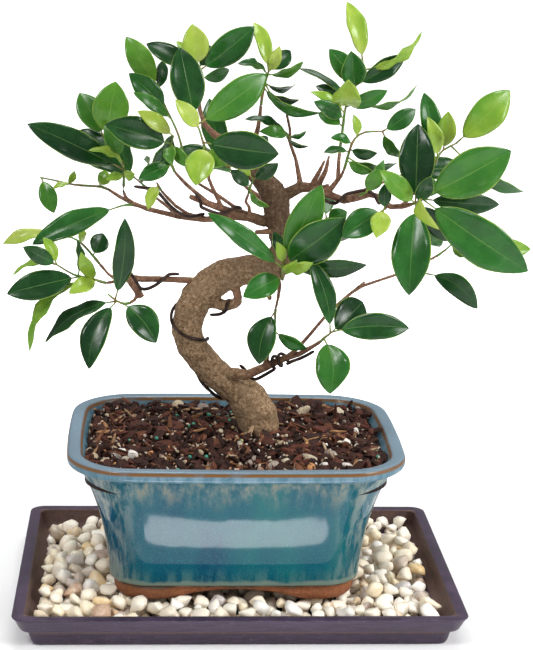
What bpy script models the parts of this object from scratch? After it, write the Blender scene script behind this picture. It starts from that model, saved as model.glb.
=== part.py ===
"""A ficus bonsai in a glazed pot, standing on a humidity tray full of pebbles.

The origin is at the centre of the tray's underside, +Z is up and -Y is the tree's front.
The tree is set out as an elevation drawing, in millimetres of the drawing: x runs right from
the pot's centre, z runs up from the soil, and near brings a point toward the drawing's station
point, so a depth can change without moving anything on the drawing.
"""

import math

import bmesh
import bpy
from mathutils import Matrix, Vector
from mathutils.bvhtree import BVHTree

# Driving dimensions, in metres.
CLEARANCE = 0.0003

TRAY_LENGTH = 0.265
TRAY_WIDTH = 0.190
TRAY_HEIGHT = 0.020
TRAY_CORNER = 0.009
TRAY_RIM = 0.007
TRAY_STEP = 0.004
TRAY_FLOOR = 0.0025
TRAY_TAPER = 0.0115
TRAY_WALL = 0.0025

POT_LENGTH = 0.2025
POT_WIDTH = 0.161
POT_HEIGHT = 0.088
POT_BASE_LENGTH = 0.150
POT_BASE_WIDTH = 0.122
POT_CORNER = 0.034
POT_BASE_CORNER = 0.022
POT_SIDE_BOW = 0.003
POT_WALL = 0.006
POT_FLOOR = 0.008
POT_LIP_WIDTH = 0.009
POT_LIP_HEIGHT = 0.008
FOOT_HEIGHT = 0.010
FOOT_WIDTH = 0.012
FOOT_GAP_FRONT = 0.042
FOOT_GAP_SIDE = 0.036
DRAIN_DIAMETER = 0.012
DRAIN_SPACING = 0.070
POT_OFFSET = -0.0025

PEBBLE_DEPTH = 0.0160
PEBBLE_BUMP = 0.0022
SOIL_BELOW_RIM = 0.0055
SOIL_MOUND = 0.003
TREE_SINK = 0.0035

TREE_HEIGHT = 0.270
TRUNK_GIRTH = 1.0
LEAF_THICKNESS = 0.0008
STEM_DIAMETER = 0.0018
WIRE_DIAMETER = 0.0018

# The pot stands on the pebbles, the soil lies below its rim, and the drawing of the tree has its
# base line a little under the soil.
POT_BOTTOM = PEBBLE_DEPTH + CLEARANCE
RIM_LEVEL = POT_BOTTOM + POT_HEIGHT
SOIL_LEVEL = RIM_LEVEL - SOIL_BELOW_RIM
TREE_BASE = Vector((0, 0, SOIL_LEVEL - TREE_SINK))

# The drawing of the tree is 270 mm high, a millimetre of it is TREE_SCALE metres, and this is
# its station point.
DRAWN_HEIGHT = 270.0
TREE_SCALE = TREE_HEIGHT / DRAWN_HEIGHT
STATION = Vector((-57.8, -1040.0, 343.2))
EYE = STATION * TREE_SCALE + TREE_BASE

# Wood: each branch is a list of (x, z, near, radius), from inside its parent to its end.
TRUNK = [
    (13, -20, -14, 9), (13, -4, -14, 13), (12.5, 10, -14, 13), (11.3, 20, -14, 13),
    (6, 28.5, -15, 12.2), (-2, 35.5, -16, 10), (-12, 43, -16, 9), (-21, 52, -16, 9),
    (-29, 62, -15, 9.2), (-32.5, 72, -14, 9.6), (-31, 82, -13, 9.4), (-27, 92, -12, 9.8),
    (-20, 100, -11, 10.3), (-10, 106.5, -10, 9.8), (2, 109.5, -9, 8.8), (14, 111.5, -8, 8.5),
    (24, 116, -8, 10), (26, 125, -8, 9), (23, 134, -8, 7.8), (20.5, 143, -9, 7.5),
    (19.5, 151, -10, 8.5), (17, 158, -11, 8), (11, 165, -12, 6.5), (5, 172, -13, 5.6),
    (-2, 180, -14, 4.5), (-10, 187, -15, 3.4),
]
BRANCHES = {
    "lower_right": [
        (-12, 43, -16, 5), (-3.6, 45.5, -8, 3.6), (4.5, 44.3, -3, 3.1), (15, 49, 2, 2.6),
        (20.6, 52, 4, 2.3), (28.6, 55.5, 8, 2.0), (36.6, 58, 13, 1.6), (44.6, 62.8, 19, 1.3),
        (49, 65.8, 23, 1.1),
    ],
    "lower_right_twig": [
        (28.6, 55.5, 8, 1.6), (34, 60.5, 7, 1.4), (39.7, 66.8, 4, 1.2), (52.2, 82.6, -4, 1.1),
        (62.5, 92.9, -10, 1.1), (68.2, 97.6, -14, 1.2), (73.9, 101, -17, 1.1),
        (94, 108.2, -24, 1.0), (111, 116, -28, 1.0), (117, 119.5, -30, 0.9),
    ],
    "lower_right_twiglet": [(68.5, 97.8, -14, 1.1), (74.5, 103.5, -13, 0.8)],
    "lower_right_drop": [(103, 112.2, -26, 0.9), (106.5, 111, -23, 0.9), (109, 110, -21, 0.8)],
    "lower_right_stub": [(14, 48.7, 2, 1.7), (16.5, 54, 4, 1.3), (17.5, 59, 5, 1.1)],
    "left": [
        (-22, 101, -11, 2.6), (-30, 103, -9, 2.1), (-45, 103.5, -5, 1.9),
        (-60, 103.5, 0, 2.0), (-67, 104.5, 2, 1.9),
    ],
    "left_knob": [
        (-70.5, 107.5, 3, 2.0), (-66.5, 102.5, 3, 2.5), (-62, 95.5, 5, 2.4),
        (-59.6, 92.2, 6, 1.8),
    ],
    "left_knob_twig": [(-61.8, 95, 5, 1.3), (-64, 90.5, 7, 1.1), (-67, 88.5, 9, 1.0)],
    "left_tip": [(-66, 103.5, 2, 1.5), (-74, 102, 0, 1.2), (-81, 100.8, 0, 1.0)],
    "left_up": [(-74, 102, 0, 1.1), (-80, 106.5, -8, 1.0), (-85, 112.5, -13, 0.9)],
    "upper_left": [
        (20, 141, -9, 4.2), (12, 139.5, -9, 3.7), (3, 142.5, -8, 3.1), (-8, 142.5, -8, 2.5),
        (-16, 140.8, -9, 2.0), (-23, 140.2, -10, 1.8), (-38, 141.8, -14, 1.7),
        (-56.5, 146, -20, 1.5), (-67, 150, -24, 1.3), (-73, 153, -27, 1.2),
        (-80, 157.5, -30, 1.0),
    ],
    "upper_left_rise": [(-65, 149.3, -23.5, 1.2), (-69.5, 152.5, -22, 1.1), (-71, 156, -22, 1.0)],
    "upper_left_under": [(-58, 146.6, -20.5, 1.2), (-62, 147.5, -17, 1.0), (-66, 148.3, -13, 0.9)],
    "upper_left_second": [
        (1, 142.5, -8, 2.6), (-13, 147, -4, 2.3), (-24, 151, 0, 2.0), (-32, 154, 3, 1.6),
    ],
    "upper_left_low": [
        (-21, 140.4, -9.7, 1.5), (-33, 143.5, -9, 1.2), (-40, 148, -8, 1.1),
        (-46, 154, -7, 1.0), (-49, 157.5, -6, 0.9),
    ],
    "upper_left_third": [
        (-21, 150, -1, 1.7), (-28, 156, -4, 1.4), (-35, 162, -8, 1.2), (-41, 168.5, -12, 1.0),
    ],
    "upper_left_fourth": [
        (3, 143, -8, 1.8), (-6, 148.5, -13, 1.3), (-16, 155.5, -18, 1.2),
        (-26.5, 161.5, -22, 1.0), (-33, 168.5, -26, 0.9),
    ],
    "upper_left_fifth": [
        (-12, 146.6, -4, 1.5), (-17, 156, 2, 1.2), (-21, 165, 7, 1.1), (-20, 172, 11, 1.0),
    ],
    "top_left": [
        (-9, 186, -15, 3.0), (-18, 191, -16, 2.2), (-24, 197, -17, 1.7), (-27, 206, -18, 1.3),
        (-27.5, 216, -18, 1.1),
    ],
    "top_middle": [
        (1, 176, -13, 2.6), (5, 186, -16, 1.8), (7.5, 195, -18, 1.4), (8.5, 203, -19, 1.2),
        (9, 209, -19, 1.0),
    ],
    "right": [
        (19, 152, -10, 4.6), (26, 156.5, -8, 3.9), (34, 160.5, -5, 3.4), (41, 160.5, -2, 2.8),
        (50, 156.5, 2, 2.3), (60, 153, 5, 2.3), (67.8, 154.5, 8, 2.0), (75, 156.8, 10, 1.8),
        (81, 155.5, 12, 1.7), (88, 149.5, 14, 1.7), (96, 150, 17, 1.6), (101, 151.3, 19, 1.3),
    ],
    "dead_twig": [
        (34, 160.5, -5, 1.8), (30.4, 177.4, -12, 1.2), (26.9, 186.3, -16, 1.1),
        (26.4, 195, -18, 1.0), (24.5, 203, -20, 0.9), (23.5, 213, -22, 0.7),
    ],
    "dead_twig_spur": [(26.9, 186.3, -16, 1.0), (25.8, 189, -13, 0.9), (25.2, 190, -11, 0.8)],
    "spike_rear": [
        (42, 160, -2, 2.3), (45.1, 163.5, -4, 1.9), (48.4, 170.5, -6, 1.5), (50.2, 180, -9, 0.7),
    ],
    "spike_front": [
        (39.5, 160.5, -2, 2.0), (42.6, 166, 1, 1.6), (45.5, 172, 3, 1.2), (47.7, 177, 5, 0.7),
    ],
    "right_rise": [
        (47, 157.5, 1, 2.1), (52, 160, 3, 1.8), (56, 165.5, 4, 1.5), (56, 176, 2, 1.2),
        (56.5, 185, 1, 1.0),
    ],
    "right_rise_spur": [(55.5, 164.5, 4, 1.2), (58, 168, 8, 1.1), (59.5, 172, 11, 0.9)],
    "right_stub": [(43, 159, -1, 1.8), (50.5, 162, -8, 1.2)],
    "right_olive_spur": [(65, 153.7, 7, 1.1), (67.5, 155.5, 12, 0.9), (69, 156.3, 15, 0.8)],
    "right_low_spur": [(86, 151, 13.5, 1.2), (85.6, 149, 19, 1.0), (85, 148.3, 22, 0.9)],
    "right_high": [
        (95, 150, 16.7, 1.4), (103, 160, 5, 1.2), (110, 169, -3, 1.1), (113, 175, -6, 0.9),
    ],
    "inner_loop_low": [
        (-21, 91, -12, 4.2), (-10, 87.5, -8, 3.7), (-3.5, 89, -5, 3.3), (-1, 91.5, -4, 2.7),
    ],
    "inner_loop_up": [(-5, 103, -9, 3.2), (-3, 97, -6, 2.6), (-1.6, 91.5, -4, 2.5)],
    "front_spur": [(24, 113, -8, 3.0), (24.6, 107, 4, 1.7), (24.6, 104, 10, 1.2)],
    "front_drop": [(21, 108, -8, 2.2), (23, 100, 1, 1.4), (22.4, 93, 6, 1.1), (21, 86, 8, 0.9)],
    "cut_stub": [(16, 106, -8, 2.4), (16.3, 97.5, 0, 1.8), (17.4, 91.5, 3, 1.5)],
    "left_stub": [(19, 134, -7, 2.2), (12.5, 133.2, -1, 1.7), (7.5, 133, 2, 1.4)],
    "middle_twig": [
        (4, 142.5, -8, 1.4), (3.5, 148, -3, 1.1), (1.2, 151.5, 0, 1.0), (3, 156.5, 2, 0.9),
    ],
    "rear_upper": [
        (20, 146, -10, 2.6), (13, 152, -26, 1.8), (4, 158, -42, 1.4), (-2, 163, -54, 1.0),
    ],
    "rear_lower": [
        (25, 126, -9, 2.6), (31, 130, -24, 1.8), (38, 134, -40, 1.4), (44, 138, -52, 1.0),
    ],
    "rear_right": [(60, 153, 5, 1.8), (69, 158, -12, 1.4), (80, 163, -28, 1.1), (88, 166, -38, 0.9)],
    "rear_left": [
        (-38, 141.8, -14, 1.5), (-44, 147, -32, 1.2), (-52, 153, -48, 1.0), (-57, 158, -57, 0.9),
    ],
}

# Shoots: the branch that each grows from, its stem as (x, z, near), and its leaves as
# (place along the stem, tip x, tip z, tip near, width, roll, bow) and, on a blade that bends
# sideways, sweep. Width is in millimetres, roll in degrees turns the blade about its midrib, and
# bow and sweep are the midrib's rise and its swing to its own right, as shares of its length.
SHOOTS = {
    "left_droop": ("left_knob_twig", [(-70, 88, 11), (-75, 90, 14), (-80, 94, 17)], [
        (0.2, -50.7, 64.2, 24, 18, -12, 0.10, -0.05), (0.5, -91.5, 47.5, 34, 16, 15, 0.06, 0.09),
        (0.5, -118, 64, 2, 12, 40, 0.05, 0.08), (0.6, -70, 140, 22, 13, 12, 0.04, 0.03),
    ]),
    "left_low": ("left_tip", [(-84, 101.5, 1), (-92, 104, 4), (-100, 105.5, 6), (-111, 112, 8)], [
        (0.14, -96, 119, 16, 9, -20, 0.10), (0.10, -103, 94.5, 18, 10, 15, 0.10),
        (0.45, -140, 93.5, 14, 17.5, 8, 0.06), (1, -118, 128, 6, 8, 30, 0.08),
        (0.3, -128, 58, 12, 8, 35, 0.12, 0.12),
        (1, -130, 122, 20, 10, 0, 0.06), (1, -136.5, 105.5, 8, 7, 62, 0.15),
        (0.5, -98, 127, -6, 9, 58, 0.05),
    ]),
    "left_middle": ("left_up", [(-87, 115, -15), (-97, 126, -20), (-105, 129, -22), (-112, 131, -23)], [
        (0.1, -83, 131, -22, 12, 10, 0.05), (0.7, -124, 124, -12, 7, 40, 0.10),
        (0.45, -97, 134, -8, 6, 40, 0.10), (1, -142, 124, -24, 9, 30, 0.12),
    ]),
    "left_under": ("upper_left_under", [(-69, 148.4, -10), (-73, 147.5, -8)], [
        (1, -125, 124, 2, 15, 18, 0.07),
    ]),
    "left_lime": ("upper_left_low", [(-50.5, 160, -5), (-51.5, 162, -4)], [
        (0.6, -56.5, 146, 4, 8, 20, 0.12),
    ]),
    "left_far": ("upper_left", [
        (-84, 159, -32), (-100, 160, -34), (-112, 162.5, -36), (-120, 164, -37),
    ], [
        (1, -112, 143, -28, 11, 0, 0.06), (0.55, -100, 168, -30, 5, 30, 0.10),
        (0.5, -112.5, 157.5, -28, 5, 50, 0.10), (0.06, -81, 168.5, -36, 9, 20, 0.10),
    ]),
    "left_upper": ("upper_left_rise", [
        (-71, 160, -22), (-71.3, 172, -23), (-76, 179, -24), (-83, 189, -26),
    ], [
        (0.3, -127, 195.5, -14, 18, 10, 0.06), (0.34, -91, 181, -8, 8, 60, 0.15),
        (0.2, -81, 163.5, -14, 6, 20, 0.10), (0.2, -64.5, 167, -16, 7, 20, 0.10),
        (0.5, -82, 196, -14, 13, 25, 0.06), (0.7, -98, 192, -34, 11, 20, 0.05),
        (1, -97, 214, -32, 16, 8, 0.06), (1, -76, 221, -22, 22, 4, 0.08),
    ]),
    "hub_left": ("upper_left_third", [(-43, 173, -12), (-44, 182, -10), (-42, 190, -8)], [
        (0.75, -82, 196, 6, 19, 10, 0.06), (1, -63, 204, 0, 10, 20, 0.10),
        (0.7, -43, 173, 6, 8, 20, 0.10), (0.75, -31, 171.5, 2, 8, 20, 0.10),
        (0.1, -62, 164, -2, 11, 15, 0.08),
    ]),
    "hub_rear": ("upper_left_fourth", [
        (-35, 174, -28), (-39, 190, -32), (-46, 205, -34), (-52, 217, -36),
    ], [
        (0.72, -68, 226, -28, 14, 10, 0.06), (0.6, -65, 215, -22, 8, 20, 0.08),
        (1, -70, 247, -40, 15, 6, 0.08), (1, -48.5, 234, -44, 8, 20, 0.06),
    ]),
    "crown_left": ("top_left", [(-27.3, 220, -18), (-27, 226, -18), (-28.5, 231, -18)], [
        (1, -32, 255, -14, 16, 4, 0.15), (1, -41, 245, -24, 7, 20, 0.10),
        (0.8, -58.5, 243.5, -28, 12, 12, 0.06), (0.8, 4, 254, -14, 18, 10, 0.06),
        (0.9, -21, 243, -32, 10, 10, 0.05), (0.5, -10, 229, -28, 9, 30, 0.10),
    ]),
    "hub_front": ("upper_left_fifth", [
        (-20.5, 176, 13), (-24.5, 186, 16), (-27, 194, 17), (-30, 199.5, 17),
    ], [
        (0.5, 20, 180, 26, 23, 10, 0.08), (0.4, -28.5, 161, 32, 17, 5, 0.10),
        (0.3, -10.5, 173.5, 24, 12, 10, 0.10), (1, -39, 241.5, 14, 20, 5, 0.06),
        (0.9, 12, 227, 8, 20, 12, 0.06), (0.8, -41, 211, 28, 10, 10, 0.10),
    ]),
    "crown_middle": ("top_middle", [(9.5, 214, -18), (10.5, 219.5, -17), (13, 229, -15)], [
        (1, 4, 257, -26, 10, 20, 0.15), (1, 25.5, 241, -22, 10, 10, 0.08),
        (1, 19, 243, -4, 8, 10, 0.10), (0.9, 33, 234.5, -6, 8, 50, 0.12),
        (0.9, -5, 233, 0, 8, 55, 0.12), (0.45, 31, 212, -10, 9, 50, 0.20),
        (0.6, 29, 221, -24, 7, 60, 0.15), (0.6, 43, 204, -4, 9, 50, 0.20),
    ]),
    "dead_twig_leaves": ("dead_twig_spur", [(25, 190.6, -9.5), (25.2, 192, -8)], [
        (1, 0, 201, -10, 7, 50, 0.15), (0.5, 9, 193.5, 0, 8, 20, 0.20),
        (0.5, 36, 193.5, -4, 5, 55, 0.10), (0.3, 37.5, 185, -4, 5, 60, 0.15),
    ]),
    "crown_right": ("right_rise", [
        (57, 189, 1), (58, 200, 0), (59, 209, -1), (63, 218, -2), (67, 228, -3), (68, 236, -4),
    ], [
        (1, 58, 270, -10, 12, 20, 0.12), (0.72, 48.5, 242, 6, 13, 10, 0.08),
        (0.66, 61, 241, 12, 15, 5, 0.08), (0.7, 93, 239.5, -6, 12, 10, 0.07),
        (0.9, 102, 253, -12, 8, 50, 0.15), (0.42, 60, 224, 32, 17, 0, 0.10),
        (0.4, 83, 218.5, 8, 10, 15, 0.08), (0.5, 101, 222, -14, 6, 60, 0.20),
        (0.42, 41, 221, -10, 8, 30, 0.10), (0.5, 31, 231, -16, 8, 60, 0.05),
        (0.32, 38.5, 217.5, 4, 7, 40, 0.10), (0.25, 40.5, 211.5, 12, 10, 15, 0.08),
        (0.15, 43, 205, -6, 9, 20, 0.08),
    ]),
    "right_spray": ("right_rise_spur", [
        (60.5, 176, 12), (62.5, 184, 12), (65, 190, 11), (71, 194, 9), (82, 194.6, 6),
    ], [
        (0.05, 76, 170.5, 20, 8, 40, 0.10), (0.1, 91, 175.5, 10, 8, 55, 0.15),
        (0.25, 78.5, 181.5, 20, 8, 35, 0.15), (0.35, 51, 190.5, 18, 7, 40, 0.10),
        (0.5, 64, 204, 14, 6, 30, 0.10), (1, 100.5, 208, 2, 11, 10, 0.06),
        (1, 92, 179, -2, 8, 30, 0.08), (0.2, 47, 181.5, 14, 7, 50, 0.10),
    ]),
    "right_olive": ("right_olive_spur", [(71, 157, 18), (73, 158, 20)], [
        (1, 81, 172, 24, 10, 10, 0.06), (1, 83, 177.5, 14, 7, 20, 0.06),
    ]),
    "right_low": ("right_low_spur", [(84.5, 148, 24), (84, 147.6, 27)], [
        (1, 60, 131, 34, 17, 8, 0.08), (1, 80.5, 131, 42, 12, 0, 0.10),
        (0.5, 84, 163, 26, 8, 5, 0.05),
    ]),
    "right_end": ("right", [(103, 152, 20), (106.5, 153.5, 22), (108, 156, 23)], [
        (0.15, 102.3, 199.5, 14, 21.5, 0, 0.05), (0.1, 81, 171, 34, 12, 10, 0.08),
        (0.3, 111.5, 168, 34, 10, 15, 0.06), (1, 159, 184.3, 28, 27, 8, 0.06),
        (0.8, 154, 151.7, 10, 13, 12, 0.05), (0.8, 173.8, 110.8, 36, 27, 8, 0.08),
        (0.5, 125.5, 129, 12, 13, 10, 0.06), (0.2, 101.6, 95.7, 42, 23.5, 5, 0.06),
        (0.5, 119.5, 124.5, -2, 11, 10, 0.08), (0.9, 117, 136.5, 52, 8, 35, 0.25),
    ]),
    "right_top": ("right_high", [(114.5, 179, -7), (118, 184, -8), (126, 188.5, -9)], [
        (0.2, 105, 218, -12, 13, 10, 0.06), (0.2, 108, 203.5, 4, 10, 20, 0.10),
        (0.5, 120, 207, 0, 12, 4, 0.06), (1, 156, 220.3, -14, 20, 10, 0.08),
        (0.8, 168, 158.5, -22, 10, 30, 0.12),
    ]),
    "right_drop": ("lower_right_drop", [(110.5, 109.4, -20), (112, 108.8, -19)], [
        (1, 143.9, 87, -10, 13.5, 12, 0.12, -0.16),
    ]),
    "right_twig_end": ("lower_right_twig", [(119, 120.8, -31), (123, 124, -32), (126, 127, -32)], [
        (1, 137, 121, -22, 8, 35, 0.10), (1, 175, 124.5, -40, 15, 10, 0.05),
    ]),
    "front": ("front_spur", [(24.4, 107, 13), (24.3, 111, 15), (24.6, 115, 16)], [
        (0.7, -19.8, 144, 34, 12, 12, 0.05), (1, 46.5, 162, 26, 19, 6, 0.06),
        (1, 20.5, 127, 24, 7, 20, 0.10), (1, 19, 133.5, 8, 9, 30, 0.06),
        (0.5, 33, 116, 34, 6, 20, 0.10), (0.9, 61, 141.5, 32, 24, 10, 0.08),
        (0.8, 42.5, 114.5, 40, 9, 35, 0.12), (0.9, 75.4, 113, 14, 12, 25, 0.08),
        (0.1, 1.5, 93.5, 28, 15, 8, 0.10),
    ]),
    "hanging": ("front_drop", [(20.8, 83, 9), (21, 77, 10), (21.5, 71, 10)], [
        (0, 11.7, 51.3, 20, 17.5, 8, 0.06, 0.08), (1, 40.3, 61, 18, 9, 35, 0.20, -0.1),
    ]),
    "lower_right_end": ("lower_right", [(51, 68, 25), (54.3, 70.6, 28), (56, 72, 30)], [
        (0.8, 41, 116.5, 22, 12.5, 12, 0.05, 0.06), (0.8, 74, 91, 8, 20, 5, 0.08),
        (1, 103, 74.5, 32, 16.5, 6, 0.06, -0.06), (0.2, 55.8, 33, 42, 21, 4, 0.08, -0.12),
    ]),
    "middle": ("middle_twig", [(3.5, 159, 3), (5.5, 165, 4)], [
        (0.4, -8, 170, 8, 8, 10, 0.06), (1, 20, 174.5, 12, 9, 15, 0.06),
        (0.3, 15, 148.5, 10, 6, 50, 0.20), (1, -9, 175, -4, 7, 40, 0.12),
    ]),
    "rear_top": ("rear_upper", [(-5, 166, -60), (-9, 172, -66)], [
        (1, -44, 180, -74, 16, 30, 0.08), (1, -22, 212, -72, 17, -20, 0.08),
        (1, 14, 190, -88, 16, 30, 0.08), (0.5, -24, 170, -96, 14, 60, 0.10),
        (0.5, 12, 170, -74, 14, -30, 0.08),
    ]),
    "rear_middle": ("rear_lower", [(47, 140, -58), (50, 142, -64)], [
        (1, 70, 133, -86, 17, 40, 0.08), (1, 44, 158, -92, 15, 30, 0.08),
        (0.5, 34, 128, -88, 14, -40, 0.08), (1, 62, 146, -60, 13, 30, 0.06),
    ]),
    "rear_far_right": ("rear_right", [(92, 168, -44), (96, 170, -50)], [
        (1, 100, 196, -66, 16, 40, 0.08), (1, 132, 172, -62, 17, -30, 0.08),
        (0.6, 106, 160, -84, 14, 50, 0.10), (0.5, 118, 160, -46, 15, 20, 0.08),
    ]),
    "rear_far_left": ("rear_left", [(-60, 161, -62), (-65, 165, -66)], [
        (1, -98, 180, -72, 16, 30, 0.08), (1, -76, 196, -80, 16, -30, 0.08),
        (0.6, -42, 190, -84, 15, 40, 0.08), (0.5, -58, 176, -100, 13, 60, 0.10),
    ]),
}

# Wires: guides through the wood's centre as (x, z, near, wood radius, angle about the wood).
# An angle of 0 is the side toward the station point, and it grows as the wire winds on.
WIRES = {
    "wire_trunk": [
        (-28, 90, -12.2, 10.4, 190), (-30.5, 83, -13, 10.2, 115), (-32, 77, -13.6, 10.2, 60),
        (-32, 71, -14, 10.2, 0), (-29.5, 63, -14.9, 10, -70), (-23, 54.5, -15.8, 9.7, -180),
        (-16, 47, -16, 9.5, -262), (-10, 41.5, -16, 9.6, -275), (-6, 38.5, -16, 9.8, -262),
        (-3, 36.5, -16, 10, -238),
    ],
    "wire_lower_right": [
        (-1, 45.2, -6.5, 4.1, -95), (4, 44.4, -3.4, 3.4, -200), (9, 45.6, -1, 3.2, -270),
        (15.5, 49.3, 2.3, 2.8, -275), (20.5, 51.9, 4, 2.7, -285), (24.2, 53.6, 5.6, 2.6, -640),
        (28, 55.2, 7.6, 2.6, -1000), (36, 57.9, 12.6, 1.9, -1000), (44, 62.3, 18.5, 1.5, -990),
    ],
    "wire_left": [
        (-37, 103.3, -6.8, 2.2, 100), (-43, 103.5, -5.6, 2.2, 75), (-48, 103.5, -4, 2.2, 0),
        (-52.5, 103.5, -2.6, 3.2, -60), (-58, 103.5, -0.8, 7, -48), (-63, 103.5, 0.8, 9, -36),
        (-66.5, 104.4, 2, 5, 5), (-69.5, 105.5, 2.5, 4.6, 32),
    ],
    "wire_left_low": [
        (-24, 140.6, -9.6, 2.1, 70), (-33, 143.5, -9, 1.4, -40), (-40, 148, -8, 1.3, -85),
        (-46, 154, -7, 1.2, -60), (-52.5, 158, -5, 0.6, 0), (-59, 158.8, -5, 0.6, 0),
        (-65, 159.5, -6, 0.6, 0),
    ],
    "wire_upper_left": [
        (-3, 143.6, -7.2, 3.5, 60), (-6, 144.6, -6.2, 3.0, 70), (-9.5, 145.8, -5, 2.9, 15),
        (-13, 147, -4, 2.9, -50),
        (-17, 148.5, -2.6, 2.7, -88), (-24, 151, 0, 2.4, -85), (-27, 152.1, 1.2, 2.3, 0),
        (-30, 153.2, 2.2, 2.1, 70),
    ],
    "wire_right": [
        (42, 160.2, -1.5, 3.6, 80), (50, 156.5, 2, 2.8, 95), (55, 154.4, 3.8, 2.7, 75),
        (58.5, 153.3, 4.7, 2.7, 0), (62, 153.2, 5.8, 2.7, -70), (68, 154.5, 8, 2.7, -80),
        (74, 156.6, 9.8, 2.4, -60), (79, 156, 11.5, 2.2, 0), (83, 154, 12.6, 2.2, 75),
    ],
    "wire_loop": [
        (-19.2, 83, -11, 0, 90), (-13.5, 83.4, -8, 0.3, 90), (-9.5, 85.3, -4.8, 0.4, 40),
        (-8.5, 88.3, -4.2, 0.6, 0), (-6, 90.7, -4.3, 0.7, -50),
    ],
}

# Mesh detail.
CORNER_STEPS = 5
SIDE_STEPS = 3
TRUNK_STATION = 8.0
BRANCH_STATION = 14.0
STEM_STATION = 10.0
WIRE_STATION = 6.0
TRUNK_SIDES = 12
BRANCH_SIDES = 6
THIN_SIDES = 4

# Colour, roughness and metallic value of each material.
FINISHES = {
    "tray_plastic": ((0.070, 0.050, 0.065), 0.35, 0.0),
    "pebbles": ((0.70, 0.66, 0.60), 0.5, 0.0),
    "pot_glaze": ((0.020, 0.120, 0.170), 0.12, 0.0),
    "soil": ((0.045, 0.028, 0.020), 0.9, 0.0),
    "bark": ((0.250, 0.175, 0.110), 0.8, 0.0),
    "foliage": ((0.060, 0.190, 0.035), 0.3, 0.0),
    "wire": ((0.030, 0.018, 0.014), 0.4, 0.8),
}


def make_material(name):
    """A Principled material with the finish of that name."""
    color, roughness, metallic = FINISHES[name]
    material = bpy.data.materials.new(name)
    material.use_nodes = True
    shader = material.node_tree.nodes["Principled BSDF"]
    shader.inputs["Base Color"].default_value = (*color, 1.0)
    shader.inputs["Roughness"].default_value = roughness
    shader.inputs["Metallic"].default_value = metallic
    return material


def add_object(name, mesh, material=None):
    """An object for a mesh, linked to the scene's collection."""
    made = bpy.data.objects.new(name, mesh)
    bpy.context.scene.collection.objects.link(made)
    if material:
        made.data.materials.clear()
        made.data.materials.append(material)
    return made


def mesh_from(name, bm):
    """The mesh of a bmesh, with every face turned outward."""
    bmesh.ops.recalc_face_normals(bm, faces=bm.faces)
    mesh = bpy.data.meshes.new(name)
    bm.to_mesh(mesh)
    bm.free()
    return mesh


def apply_boolean(made, cutters, operation):
    """Joins the cutters to an object's mesh or cuts them from it, and then deletes them."""
    helpers = bpy.data.collections.new("cutters")
    for cutter in cutters:
        cutter.hide_render = True
        cutter.display_type = "WIRE"
        helpers.objects.link(cutter)
    modifier = made.modifiers.new(operation.title(), "BOOLEAN")
    modifier.operation = operation
    modifier.solver = "EXACT"
    modifier.operand_type = "COLLECTION"
    modifier.collection = helpers
    bpy.context.view_layer.update()
    evaluated = made.evaluated_get(bpy.context.evaluated_depsgraph_get())
    mesh = bpy.data.meshes.new_from_object(evaluated)
    made.modifiers.clear()
    made.data = mesh
    for cutter in list(helpers.objects):
        bpy.data.objects.remove(cutter)
    bpy.data.collections.remove(helpers)


# --- outlines and lofts for the tray, the pot, the pebbles and the soil ---


def outline(half_x, half_y, corner, bow, z):
    """A ring of points round a rounded rectangle whose sides bow out by bow at their middles."""
    half_x -= bow
    half_y -= bow
    ring = []
    for quarter, (sx, sy) in enumerate([(1, 1), (-1, 1), (-1, -1), (1, -1)]):
        center = Vector((sx * (half_x - corner), sy * (half_y - corner), z))
        for step in range(CORNER_STEPS + 1):
            angle = math.radians(90 * (quarter + step / CORNER_STEPS))
            ring.append(center + corner * Vector((math.cos(angle), math.sin(angle), 0)))
        last = ring[-1]
        run = 2 * ((half_x if quarter % 2 == 0 else half_y) - corner)
        along = Matrix.Rotation(math.radians(90 * quarter), 3, "Z") @ Vector((-1, 0, 0))
        for step in range(1, SIDE_STEPS):
            ring.append(last + along * run * step / SIDE_STEPS)
    for point in ring:
        x_share = point.x / half_x
        y_share = point.y / half_y
        point.x += math.copysign(bow * (1 - y_share**2), point.x) * abs(x_share) ** 4
        point.y += math.copysign(bow * (1 - x_share**2), point.y) * abs(y_share) ** 4
    return ring


def loft(rings, close=False, tip=None):
    """A bmesh through rings of equal length, with capped ends, a pointed tip, or closed on itself."""
    bm = bmesh.new()
    loops = [[bm.verts.new(point) for point in ring] for ring in rings]
    pairs = list(zip(loops, loops[1:]))
    if close:
        pairs.append((loops[-1], loops[0]))
    for lower, upper in pairs:
        for index in range(len(lower)):
            after = (index + 1) % len(lower)
            bm.faces.new((lower[index], lower[after], upper[after], upper[index]))
    if not close:
        bm.faces.new(reversed(loops[0]))
    if tip is not None:
        point = bm.verts.new(tip)
        last = loops[-1]
        for index in range(len(last)):
            bm.faces.new((last[index], last[(index + 1) % len(last)], point))
    elif not close:
        bm.faces.new(loops[-1])
    return bm


def tray_ring(inset, z):
    """The tray's outline at a level, set in from the rim's edge."""
    corner = max(TRAY_CORNER - inset * 0.4, 0.003)
    return outline(TRAY_LENGTH / 2 - inset, TRAY_WIDTH / 2 - inset, corner, 0, z)


def tray_inner_rings(gap):
    """The inside of the tray from its rim to its floor, drawn in by a gap."""
    step_inset = TRAY_TAPER + TRAY_WALL
    return [
        (TRAY_RIM + gap, TRAY_HEIGHT),
        (TRAY_RIM + TRAY_STEP * 0.5 + gap, TRAY_HEIGHT * 0.55),
        (step_inset - 0.001 + gap, TRAY_HEIGHT * 0.45),
        (step_inset + gap, TRAY_FLOOR + gap),
    ]


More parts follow.
